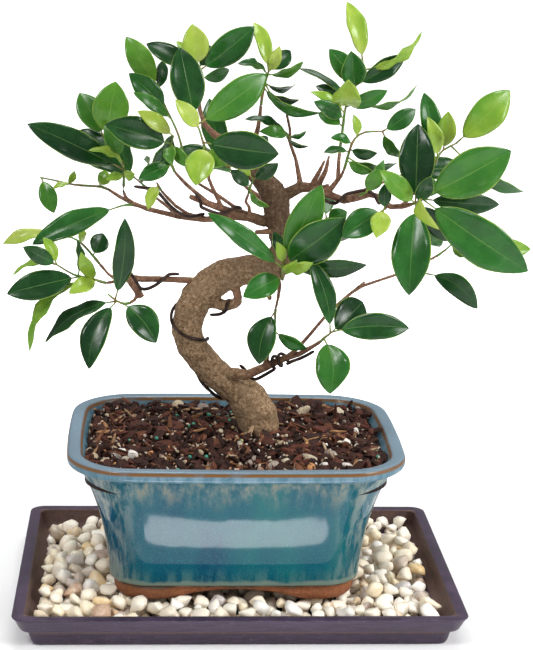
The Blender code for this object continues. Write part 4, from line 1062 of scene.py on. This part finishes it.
SHOOTS = {
    "left_droop": (
        [(-67, 88.5, 9), (-70, 88, 11), (-75, 90, 14), (-80, 94, 17)],
        [(0.2, -50.7, 64.2, 24, 18, -12, 0.1, -0.05, 0.12),
         (0.5, -91.5, 47.5, 34, 16, 15, 0.06, 0.09, 0.05),
         (0.5, -118, 64, 2, 12, 40, 0.05, 0.08, 0.08),
         (0.6, -70, 140, 22, 13, 12, 0.04, 0.03, 0.06)],
    ),
    "left_low": (
        [(-81, 100.8, 0), (-84, 101.5, 1), (-92, 104, 4), (-100, 105.5, 6), (-111, 112, 8)],
        [(0.14, -96, 119, 16, 9, -20, 0.1, 0, 0.78), (0.1, -103, 94.5, 18, 10, 15, 0.1, 0, 0.8),
         (0.45, -140, 93.5, 14, 17.5, 8, 0.06, 0, 0.08), (1, -118, 128, 6, 8, 30, 0.08, 0, 0.75),
         (0.3, -128, 58, 12, 8, 35, 0.12, 0.12, 0.68), (1, -130, 122, 20, 10, 0, 0.06, 0, 0.12),
         (1, -136.5, 105.5, 8, 7, 62, 0.15, 0, 0.72), (0.5, -98, 127, -6, 9, 58, 0.05, 0, 0.12)],
    ),
    "left_middle": (
        [(-85, 112.5, -13), (-87, 115, -15), (-97, 126, -20), (-105, 129, -22), (-112, 131, -23)],
        [(0.1, -83, 131, -22, 12, 10, 0.05, 0, 0.1), (0.7, -124, 124, -12, 7, 40, 0.1, 0, 0.75),
         (0.45, -97, 134, -8, 6, 40, 0.1, 0, 0.8), (1, -142, 124, -24, 9, 30, 0.12, 0, 0.92)],
    ),
    "left_under": (
        [(-66, 148.3, -13), (-69, 148.4, -10), (-73, 147.5, -8)],
        [(1, -125, 124, 2, 15, 18, 0.07, 0, 0.22)],
    ),
    "left_lime": (
        [(-49, 157.5, -6), (-50.5, 160, -5), (-51.5, 162, -4)],
        [(0.6, -56.5, 146, 4, 8, 20, 0.12, 0, 0.85)],
    ),
    "left_far": (
        [(-80, 157.5, -30), (-84, 159, -32), (-100, 160, -34), (-112, 162.5, -36),
         (-120, 164, -37)],
        [(1, -112, 143, -28, 11, 0, 0.06, 0, 0.45), (0.55, -100, 168, -30, 5, 30, 0.1, 0, 0.78),
         (0.5, -112.5, 157.5, -28, 5, 50, 0.1, 0, 0.8),
         (0.06, -81, 168.5, -36, 9, 20, 0.1, 0, 0.72)],
    ),
    "left_upper": (
        [(-71, 156, -22), (-71, 160, -22), (-71.3, 172, -23), (-76, 179, -24), (-83, 189, -26)],
        [(0.3, -127, 195.5, -14, 18, 10, 0.06, 0, 0.06), (0.34, -91, 181, -8, 8, 60, 0.15, 0, 0.8),
         (0.2, -81, 163.5, -14, 6, 20, 0.1, 0, 0.75), (0.2, -64.5, 167, -16, 7, 20, 0.1, 0, 0.78),
         (0.5, -82, 196, -14, 13, 25, 0.06, 0, 0.42), (0.7, -98, 192, -34, 11, 20, 0.05, 0, 0.12),
         (1, -97, 214, -32, 16, 8, 0.06, 0, 0.42), (1, -76, 221, -22, 22, 4, 0.08, 0, 0.56)],
    ),
    "hub_left": (
        [(-41, 168.5, -12), (-43, 173, -12), (-44, 182, -10), (-42, 190, -8)],
        [(0.75, -82, 196, 6, 19, 10, 0.06, 0, 0.12), (1, -63, 204, 0, 10, 20, 0.1, 0, 0.92),
         (0.7, -43, 173, 6, 8, 20, 0.1, 0, 0.5), (0.75, -31, 171.5, 2, 8, 20, 0.1, 0, 0.5),
         (0.1, -62, 164, -2, 11, 15, 0.08, 0, 0.3)],
    ),
    "hub_rear": (
        [(-33, 168.5, -26), (-35, 174, -28), (-39, 190, -32), (-46, 205, -34), (-52, 217, -36)],
        [(0.72, -68, 226, -28, 14, 10, 0.06, 0, 0.22), (0.6, -65, 215, -22, 8, 20, 0.08, 0, 0.36),
         (1, -70, 247, -40, 15, 6, 0.08, 0, 0.58), (1, -48.5, 234, -44, 8, 20, 0.06, 0, 0.1)],
    ),
    "crown_left": (
        [(-27.5, 216, -18), (-27.3, 220, -18), (-27, 226, -18), (-28.5, 231, -18)],
        [(1, -32, 255, -14, 16, 4, 0.15, 0, 0.88), (1, -41, 245, -24, 7, 20, 0.1, 0, 0.75),
         (0.8, -58.5, 243.5, -28, 12, 12, 0.06, 0, 0.12), (0.8, 4, 254, -14, 18, 10, 0.06, 0, 0.2),
         (0.9, -21, 243, -32, 10, 10, 0.05, 0, 0.08), (0.5, -10, 229, -28, 9, 30, 0.1, 0, 0.25)],
    ),
    "hub_front": (
        [(-20, 172, 11), (-20.5, 176, 13), (-24.5, 186, 16), (-27, 194, 17), (-30, 199.5, 17)],
        [(0.5, 20, 180, 26, 23, 10, 0.08, 0, 0.08), (0.4, -28.5, 161, 32, 17, 5, 0.1, 0, 0.8),
         (0.3, -10.5, 173.5, 24, 12, 10, 0.1, 0, 0.6), (1, -39, 241.5, 14, 20, 5, 0.06, 0, 0.12),
         (0.9, 12, 227, 8, 20, 12, 0.06, 0, 0.42), (0.8, -41, 211, 28, 10, 10, 0.1, 0, 0.9)],
    ),
    "crown_middle": (
        [(9, 209, -19), (9.5, 214, -18), (10.5, 219.5, -17), (13, 229, -15)],
        [(1, 4, 257, -26, 10, 20, 0.15, 0, 0.82), (1, 25.5, 241, -22, 10, 10, 0.08, 0, 0.12),
         (1, 19, 243, -4, 8, 10, 0.1, 0, 0.92), (0.9, 33, 234.5, -6, 8, 50, 0.12, 0, 0.5),
         (0.9, -5, 233, 0, 8, 55, 0.12, 0, 0.12), (0.45, 31, 212, -10, 9, 50, 0.2, 0, 0.1),
         (0.6, 29, 221, -24, 7, 60, 0.15, 0, 0.1), (0.6, 43, 204, -4, 9, 50, 0.2, 0, 0.35)],
    ),
    "dead_twig_leaves": (
        [(25.2, 190, -11), (25, 190.6, -9.5), (25.2, 192, -8)],
        [(1, 0, 201, -10, 7, 50, 0.15, 0, 0.12), (0.5, 9, 193.5, 0, 8, 20, 0.2, 0, 0.45),
         (0.5, 36, 193.5, -4, 5, 55, 0.1, 0, 0.3), (0.3, 37.5, 185, -4, 5, 60, 0.15, 0, 0.1)],
    ),
    "crown_right": (
        [(56.5, 185, 1), (57, 189, 1), (58, 200, 0), (59, 209, -1), (63, 218, -2), (67, 228, -3),
         (68, 236, -4)],
        [(1, 58, 270, -10, 12, 20, 0.12, 0, 0.82), (0.72, 48.5, 242, 6, 13, 10, 0.08, 0, 0.35),
         (0.66, 61, 241, 12, 15, 5, 0.08, 0, 0.28), (0.7, 93, 239.5, -6, 12, 10, 0.07, 0, 0.1),
         (0.9, 102, 253, -12, 8, 50, 0.15, 0, 0.75), (0.42, 60, 224, 32, 17, 0, 0.1, 0, 0.8),
         (0.4, 83, 218.5, 8, 10, 15, 0.08, 0, 0.35), (0.5, 101, 222, -14, 6, 60, 0.2, 0, 0.45),
         (0.42, 41, 221, -10, 8, 30, 0.1, 0, 0.1), (0.5, 31, 231, -16, 8, 60, 0.05, 0, 0.12),
         (0.32, 38.5, 217.5, 4, 7, 40, 0.1, 0, 0.75),
         (0.25, 40.5, 211.5, 12, 10, 15, 0.08, 0, 0.22), (0.15, 43, 205, -6, 9, 20, 0.08, 0, 0.35)],
    ),
    "right_spray": (
        [(59.5, 172, 11), (60.5, 176, 12), (62.5, 184, 12), (65, 190, 11), (71, 194, 9),
         (82, 194.6, 6)],
        [(0.05, 76, 170.5, 20, 8, 40, 0.1, 0, 0.45), (0.1, 91, 175.5, 10, 8, 55, 0.15, 0, 0.4),
         (0.25, 78.5, 181.5, 20, 8, 35, 0.15, 0, 0.1), (0.35, 51, 190.5, 18, 7, 40, 0.1, 0, 0.3),
         (0.5, 64, 204, 14, 6, 30, 0.1, 0, 0.75), (1, 100.5, 208, 2, 11, 10, 0.06, 0, 0.22),
         (1, 92, 179, -2, 8, 30, 0.08, 0, 0.4), (0.2, 47, 181.5, 14, 7, 50, 0.1, 0, 0.2)],
    ),
    "right_olive": (
        [(69, 156.3, 15), (71, 157, 18), (73, 158, 20)],
        [(1, 81, 172, 24, 10, 10, 0.06, 0, 0.5), (1, 83, 177.5, 14, 7, 20, 0.06, 0, 0.45)],
    ),
    "right_low": (
        [(85, 148.3, 22), (84.5, 148, 24), (84, 147.6, 27)],
        [(1, 60, 131, 34, 17, 8, 0.08, 0, 0.26), (1, 80.5, 131, 42, 12, 0, 0.1, 0, 0.85),
         (0.5, 84, 163, 26, 8, 5, 0.05, 0, 0.1)],
    ),
    "right_end": (
        [(101, 151.3, 19), (103, 152, 20), (106.5, 153.5, 22), (108, 156, 23)],
        [(0.15, 102.3, 199.5, 14, 21.5, 0, 0.05, 0, 0.03), (0.1, 81, 171, 34, 12, 10, 0.08, 0, 0.6),
         (0.3, 111.5, 168, 34, 10, 15, 0.06, 0, 0.12), (1, 159, 184.3, 28, 27, 8, 0.06, 0, 0.38),
         (0.8, 154, 151.7, 10, 13, 12, 0.05, 0, 0.1), (0.8, 173.8, 110.8, 36, 27, 8, 0.08, 0, 0.28),
         (0.5, 125.5, 129, 12, 13, 10, 0.06, 0, 0.03),
         (0.2, 101.6, 95.7, 42, 23.5, 5, 0.06, 0, 0.24),
         (0.5, 119.5, 124.5, -2, 11, 10, 0.08, 0, 0.3), (0.9, 117, 136.5, 52, 8, 35, 0.25, 0, 0.9)],
    ),
    "right_top": (
        [(113, 175, -6), (114.5, 179, -7), (118, 184, -8), (126, 188.5, -9)],
        [(0.2, 105, 218, -12, 13, 10, 0.06, 0, 0.3), (0.2, 108, 203.5, 4, 10, 20, 0.1, 0, 0.8),
         (0.5, 120, 207, 0, 12, 4, 0.06, 0, 0.78), (1, 156, 220.3, -14, 20, 10, 0.08, 0, 0.68),
         (0.8, 168, 158.5, -22, 10, 30, 0.12, 0, 0.3)],
    ),
    "right_drop": (
        [(109, 110, -21), (110.5, 109.4, -20), (112, 108.8, -19)],
        [(1, 143.9, 87, -10, 13.5, 12, 0.12, -0.16, 0.12)],
    ),
    "right_twig_end": (
        [(117, 119.5, -30), (119, 120.8, -31), (123, 124, -32), (126, 127, -32)],
        [(1, 137, 121, -22, 8, 35, 0.1, 0, 0.6), (1, 175, 124.5, -40, 15, 10, 0.05, 0, 0.7)],
    ),
    "front": (
        [(24.6, 104, 10), (24.4, 107, 13), (24.3, 111, 15), (24.6, 115, 16)],
        [(0.7, -19.8, 144, 34, 12, 12, 0.05, 0, 0.28), (1, 46.5, 162, 26, 19, 6, 0.06, 0, 0.42),
         (1, 20.5, 127, 24, 7, 20, 0.1, 0, 0.78), (1, 19, 133.5, 8, 9, 30, 0.06, 0, 0.1),
         (0.5, 33, 116, 34, 6, 20, 0.1, 0, 0.75), (0.9, 61, 141.5, 32, 24, 10, 0.08, 0, 0.15),
         (0.8, 42.5, 114.5, 40, 9, 35, 0.12, 0, 0.8), (0.9, 75.4, 113, 14, 12, 25, 0.08, 0, 0.12),
         (0.1, 1.5, 93.5, 28, 15, 8, 0.1, 0, 0.3)],
    ),
    "hanging": (
        [(21, 86, 8), (20.8, 83, 9), (21, 77, 10), (21.5, 71, 10)],
        [(0, 11.7, 51.3, 20, 17.5, 8, 0.06, 0.08, 0.12), (1, 40.3, 61, 18, 9, 35, 0.2, -0.1, 0.3)],
    ),
    "lower_right_end": (
        [(49, 65.8, 23), (51, 68, 25), (54.3, 70.6, 28), (56, 72, 30)],
        [(0.8, 41, 116.5, 22, 12.5, 12, 0.05, 0.06, 0.12), (0.8, 74, 91, 8, 20, 5, 0.08, 0, 0.04),
         (1, 103, 74.5, 32, 16.5, 6, 0.06, -0.06, 0.12),
         (0.2, 55.8, 33, 42, 21, 4, 0.08, -0.12, 0.33)],
    ),
    "middle": (
        [(3, 156.5, 2), (3.5, 159, 3), (5.5, 165, 4)],
        [(0.4, -8, 170, 8, 8, 10, 0.06, 0, 0.1), (1, 20, 174.5, 12, 9, 15, 0.06, 0, 0.1),
         (0.3, 15, 148.5, 10, 6, 50, 0.2, 0, 0.5), (1, -9, 175, -4, 7, 40, 0.12, 0, 0.75)],
    ),
    "rear_top": (
        [(-2, 163, -54), (-5, 166, -60), (-9, 172, -66)],
        [(1, -44, 180, -74, 16, 30, 0.08, 0, 0.15), (1, -22, 212, -72, 17, -20, 0.08, 0, 0.3),
         (1, 14, 190, -88, 16, 30, 0.08, 0, 0.1), (0.5, -24, 170, -96, 14, 60, 0.1, 0, 0.25),
         (0.5, 12, 170, -74, 14, -30, 0.08, 0, 0.35)],
    ),
    "rear_middle": (
        [(44, 138, -52), (47, 140, -58), (50, 142, -64)],
        [(1, 70, 133, -86, 17, 40, 0.08, 0, 0.12), (1, 44, 158, -92, 15, 30, 0.08, 0, 0.3),
         (0.5, 34, 128, -88, 14, -40, 0.08, 0, 0.2), (1, 62, 146, -60, 13, 30, 0.06, 0, 0.35)],
    ),
    "rear_far_right": (
        [(88, 166, -38), (92, 168, -44), (96, 170, -50)],
        [(1, 100, 196, -66, 16, 40, 0.08, 0, 0.2), (1, 132, 172, -62, 17, -30, 0.08, 0, 0.12),
         (0.6, 106, 160, -84, 14, 50, 0.1, 0, 0.35), (0.5, 118, 160, -46, 15, 20, 0.08, 0, 0.3)],
    ),
    "rear_far_left": (
        [(-57, 158, -57), (-60, 161, -62), (-65, 165, -66)],
        [(1, -98, 180, -72, 16, 30, 0.08, 0, 0.1), (1, -76, 196, -80, 16, -30, 0.08, 0, 0.25),
         (0.6, -42, 190, -84, 15, 40, 0.08, 0, 0.15), (0.5, -58, 176, -100, 13, 60, 0.1, 0, 0.35)],
    ),
}


def place(x, z, near):
    """A point of the drawing, in metres."""
    flat = Vector((x, 0.0, z))
    return (flat + (STATION - flat).normalized() * near) * 0.001 + DRAWING_BASE


print("shoots", len(SHOOTS), "leaves", sum(len(leaves) for _, leaves in SHOOTS.values()))

# %% [markdown]
# A leaf's tip in the frame may have been swung toward or away from the station point to clear its
# neighbours, and its blade rolled. Both are measured from the CAD node: the tip is the vertex
# nearest the line of sight, and the roll is the one whose edges fall on vertices.

# %% Measure the leaves


def smooth_line(knots, spacing):
    """Points along a smooth curve through knots, in metres."""
    line = []
    for index in range(len(knots) - 1):
        a = knots[max(index - 1, 0)]
        b, c = knots[index], knots[index + 1]
        d = knots[min(index + 2, len(knots) - 1)]
        steps = max(1, round((c - b).length / spacing))
        for step in range(steps):
            t = step / steps
            second, third = 2 * a - 5 * b + 4 * c - d, 3 * b - a - 3 * c + d
            line.append(0.5 * (2 * b + (c - a) * t + second * t**2 + third * t**3))
    line.append(knots[-1].copy())
    return line


def point_on(line, share):
    """The point at a share of a line's length."""
    lengths = [(b - a).length for a, b in zip(line, line[1:])]
    left = share * sum(lengths)
    for start, end, length in zip(line, line[1:], lengths):
        if left <= length:
            return start.lerp(end, left / length)
        left -= length
    return line[-1].copy()


def leaf_axes(base, tip, roll):
    """Unit vectors across, along and out of a leaf."""
    along = (tip - base).normalized()
    facing = (EYE - base).normalized()
    normal = (facing - along * facing.dot(along)).normalized()
    normal = Matrix.Rotation(math.radians(roll), 3, along) @ normal
    return along.cross(normal), along, normal


def measure_leaf(corners, base, leaf):
    """The settled tip and roll of a leaf, read from the CAD node's vertices."""
    _, x, z, near, width, roll, bow, sweep, _ = leaf
    guess = place(x, z, near)
    sight = (EYE - guess).normalized()

    def off_line(point):
        away = point - guess
        return (away - sight * away.dot(sight)).length + abs(away.dot(sight)) * 0.01
    tip = min(corners, key=off_line)
    if off_line(tip) > 0.0015:
        tip = guess
    best = (1e9, roll)
    for turn in (0, 14, -14, 28, -28):
        across, along, normal = leaf_axes(base, tip, roll + turn)
        length = (tip - base).length
        middle = base + (tip - base) * 0.5 + (normal * bow + across * sweep) * length
        miss = 0.0
        for side in (-1, 1):
            edge = middle + across * side * width * 0.0005
            miss += min((corner - edge).length for corner in corners)
        best = min(best, (miss + abs(turn) * 1e-7, roll + turn))
    return tip, best[1]


print("measuring from", sum(1 for name in nodes if name.startswith("shoot_")), "CAD shoots")

# %% [markdown]
# A blade starts as a grid. Its cells are drawn in to the leaf's outline, folded a little along
# the midrib, waved at the margin and bent down at the tip, and then the sheet gets a thickness.
# The grid's own square becomes the UV map, so the midrib, the veins and the pale margin follow
# every leaf whatever its shape.

# %% Leaf blades
MEET = 0.15
STEM_RADIUS = 0.00088
LEAF_THICKNESS = 0.00035


def outline_share(v):
    """Half width of a leaf at a share of its length, as a share of its greatest half width."""
    away = abs(v - 0.5) * 2
    return max(1 - away**2, 0.0) ** (0.86 if v > 0.5 else 0.72)


def eased(share):
    """A share moved toward the nearer end, for shorter cells where the outline turns."""
    return 0.5 * share + 0.5 * (0.5 - 0.5 * math.cos(share * math.pi))


def arch_of(across, normal, leaf, length, share):
    """How far a leaf's bow and sweep carry its middle line at a share of its length."""
    return (normal * leaf[6] + across * leaf[7]) * length * 4 * share * (1 - share)


def add_blade(bm, base, tip, roll, leaf, seed):
    """One leaf as a shaped sheet in bm, with its UV map, tone and seed."""
    width, tone = leaf[4], leaf[8]
    source = random.Random(seed)
    across, along, normal = leaf_axes(base, tip, roll)
    length = (tip - base).length
    fold = source.uniform(0.10, 0.30) + 0.25 * max(tone - 0.6, 0)
    wave = source.uniform(0.02, 0.07) + 0.05 * max(tone - 0.5, 0)
    beats = source.uniform(1.2, 2.6)
    phase = source.uniform(0, math.tau)
    droop = source.uniform(0.02, 0.09)
    half = width * 0.0005
    grid = bmesh.ops.create_grid(bm, x_segments=6, y_segments=14, size=0.5)["verts"]
    uv = bm.loops.layers.uv["blade"]
    shade, mark = bm.verts.layers.float["tone"], bm.verts.layers.float["seed"]
    shares = {vert: (vert.co.x + 0.5, eased(vert.co.y + 0.5)) for vert in grid}
    faces = {face for vert in grid for face in vert.link_faces}
    for face in faces:
        for loop in face.loops:
            loop[uv].uv = shares[loop.vert]
    for vert in grid:
        u, v = shares[vert]
        side = (u - 0.5) * 2
        t = 0.12 + 0.88 * v
        reach = max(half * outline_share(v), 0.00012)
        lift = fold * abs(side) ** 1.25 * reach
        ripple = math.sin(v * beats * math.tau + phase) * outline_share(v)
        lift += wave * length * 0.5 * side * abs(side) * ripple
        lift -= droop * length * max(t - 0.55, 0) ** 2 * 3
        arch = arch_of(across, normal, leaf, length, t)
        vert.co = base + (tip - base) * t + arch + across * side * reach + normal * lift
        vert[shade] = tone
        vert[mark] = seed % 97 / 97
    return faces


def toned(bm, verts, tone):
    """The tone of a stem, given to each of its points."""
    for vert in verts:
        vert[bm.verts.layers.float["tone"]] = tone
        vert[bm.verts.layers.float["seed"]] = 0.5


def add_stalk(bm, start, end, tone):
    """A short tapered stalk between two points."""
    aim = (end - start).to_track_quat("Z", "Y").to_matrix().to_4x4()
    made = bmesh.ops.create_cone(
        bm, cap_ends=True, segments=6, radius1=0.00062, radius2=0.00040,
        depth=(end - start).length * 1.05, matrix=Matrix.Translation(start.lerp(end, 0.5)) @ aim,
    )["verts"]
    toned(bm, made, tone)
    return {face for vert in made for face in vert.link_faces}


def add_stem(bm, line, tone=0.55, sides=8):
    """A stem as one tube that narrows to its end, with small knots along it."""
    rings = []
    for index, point in enumerate(line):
        ahead = line[min(index + 1, len(line) - 1)] - line[max(index - 1, 0)]
        turn = ahead.to_track_quat("Z", "Y").to_matrix()
        knob = 1.0 + 0.18 * max(0.0, math.sin(index * 1.9)) ** 3
        radius = STEM_RADIUS * (1 - 0.45 * index / (len(line) - 1)) * knob
        angles = [math.tau * side / sides for side in range(sides)]
        rings.append([point + turn @ Vector((math.cos(a), math.sin(a), 0)) * radius for a in angles])
    _, verts, faces = wrap_rings(rings, bm)
    toned(bm, verts, tone)
    return faces


def build_shoot(name, knots, leaves, number):
    """A green stem and its leaves."""
    line = smooth_line([place(*knot) for knot in knots], 0.004)
    corners = [vert.co.copy() for vert in nodes["shoot_" + name].data.vertices]
    bm = bmesh.new()
    bm.loops.layers.uv.new("blade")
    for layer in ("tone", "seed"):
        bm.verts.layers.float.new(layer)
    stalks = add_stem(bm, line)
    blades = set()
    for index, leaf in enumerate(leaves):
        base = point_on(line, 0.1 + leaf[0] * 0.88)
        tip, roll = measure_leaf(corners, base, leaf)
        blades |= add_blade(bm, base, tip, roll, leaf, number * 31 + index * 7)
        across, along, normal = leaf_axes(base, tip, roll)
        length = (tip - base).length
        meet = base + (tip - base) * MEET + arch_of(across, normal, leaf, length, MEET)
        stalks |= add_stalk(bm, base, meet, 0.62 + 0.25 * leaf[8])
    bm.normal_update()
    bmesh.ops.solidify(bm, geom=list(blades), thickness=-LEAF_THICKNESS)
    for face in blades:
        face.material_index = 1
    for face in stalks:
        face.material_index = 2
    return finish_piece("leaves_" + name, bm, leaf_finishes(), ["shoot_" + name])


# %% [markdown]
# One material paints the upper side of every leaf. Its tone picks the green, its seed shifts it,
# and the UV map draws a pale midrib, faint side veins and a thin yellow-green margin. The
# underside is paler and duller, and the stems are yellow-green and reddish.

# %% Leaf finishes
TONES = [
    (0.0, (0.003, 0.026, 0.006)), (0.12, (0.007, 0.048, 0.008)), (0.30, (0.020, 0.115, 0.016)),
    (0.45, (0.045, 0.165, 0.018)), (0.60, (0.085, 0.230, 0.020)), (0.75, (0.190, 0.330, 0.030)),
    (0.88, (0.300, 0.420, 0.050)), (1.0, (0.420, 0.500, 0.110)),
]


def blade_paint(name, pale, roughness, veins):
    """A leaf surface. pale lightens it, and veins is how strongly the side veins show."""
    material, shader, coords = new_finish(name, roughness, Specular_IOR_Level=0.32)
    u, v, _ = axes_of(add_node(coords.id_data, "ShaderNodeUVMap", uv_map="blade").outputs[0])
    tone = painted(shader, "tone")
    seed = painted(shader, "seed")
    side = size_of(minus(u, 0.5))
    cloud = speckle(coords, 110.0, 3.0, 0.5)
    shift = times(minus(cloud, 0.5), 0.22)
    lean = times(minus(seed, 0.5), times(minus(u, 0.5), 0.22))
    base_end = between(v, 0.35, 0.0, 0.0, 0.10)
    shade = plus(plus(tone, shift), plus(lean, base_end), clamp=True)
    color = ramp(shade, TONES, smooth=False)
    if pale:
        color = mix(pale, color, (0.100, 0.170, 0.060))
    slant = minus(times(v, 13.0), times(side, 7.0))
    comb = size_of(minus(maths("FRACT", slant), 0.5))
    vein = between(comb, 0.10, 0.0, 0.0, veins)
    light = plus(shade, 0.20, clamp=True)
    pale_green = ramp(light, TONES, smooth=False)
    color = mix(vein, color, pale_green)
    rib_width = plus(times(v, -0.018), 0.027)
    rib = between(maths("DIVIDE", side, rib_width), 1.0, 0.5)
    rib_color = mix(0.55, pale_green, (0.200, 0.320, 0.080))
    color = mix(times(rib, 0.45), color, rib_color)
    margin = between(side, 0.468, 0.490)
    color = mix(times(margin, 0.80), color, (0.230, 0.350, 0.050))
    feed(shader, "Base Color", color)
    gloss = between(cloud, 0.3, 0.7, roughness - 0.05, roughness + 0.08)
    feed(shader, "Roughness", gloss)
    height = minus(times(vein, 0.4), rib)
    bump(shader, height, 0.35, 0.0003)
    return material


def stem_paint():
    """Young stems: yellow-green, blushed with red-brown."""
    material, shader, coords = new_finish("green_stem", 0.45)
    tone = painted(shader, "tone")
    blush = speckle(coords, 130.0, 4.0, 0.6)
    base = ramp(tone, TONES, smooth=False)
    base = mix(between(blush, 0.40, 0.62, 0.10, 0.75), base, (0.240, 0.110, 0.050))
    feed(shader, "Base Color", base)
    bump(shader, blush, 0.2, 0.0003)
    return material


finishes = []


def leaf_finishes():
    """The three materials of a shoot, made once."""
    if not finishes:
        finishes.append(blade_paint("leaf_upper", 0.0, 0.24, 0.10))
        finishes.append(blade_paint("leaf_under", 0.45, 0.5, 0.35))
        finishes.append(stem_paint())
    return finishes


shoots = [build_shoot(name, *SHOOTS[name], number) for number, name in enumerate(SHOOTS)]
print("leaf pieces", len(shoots))
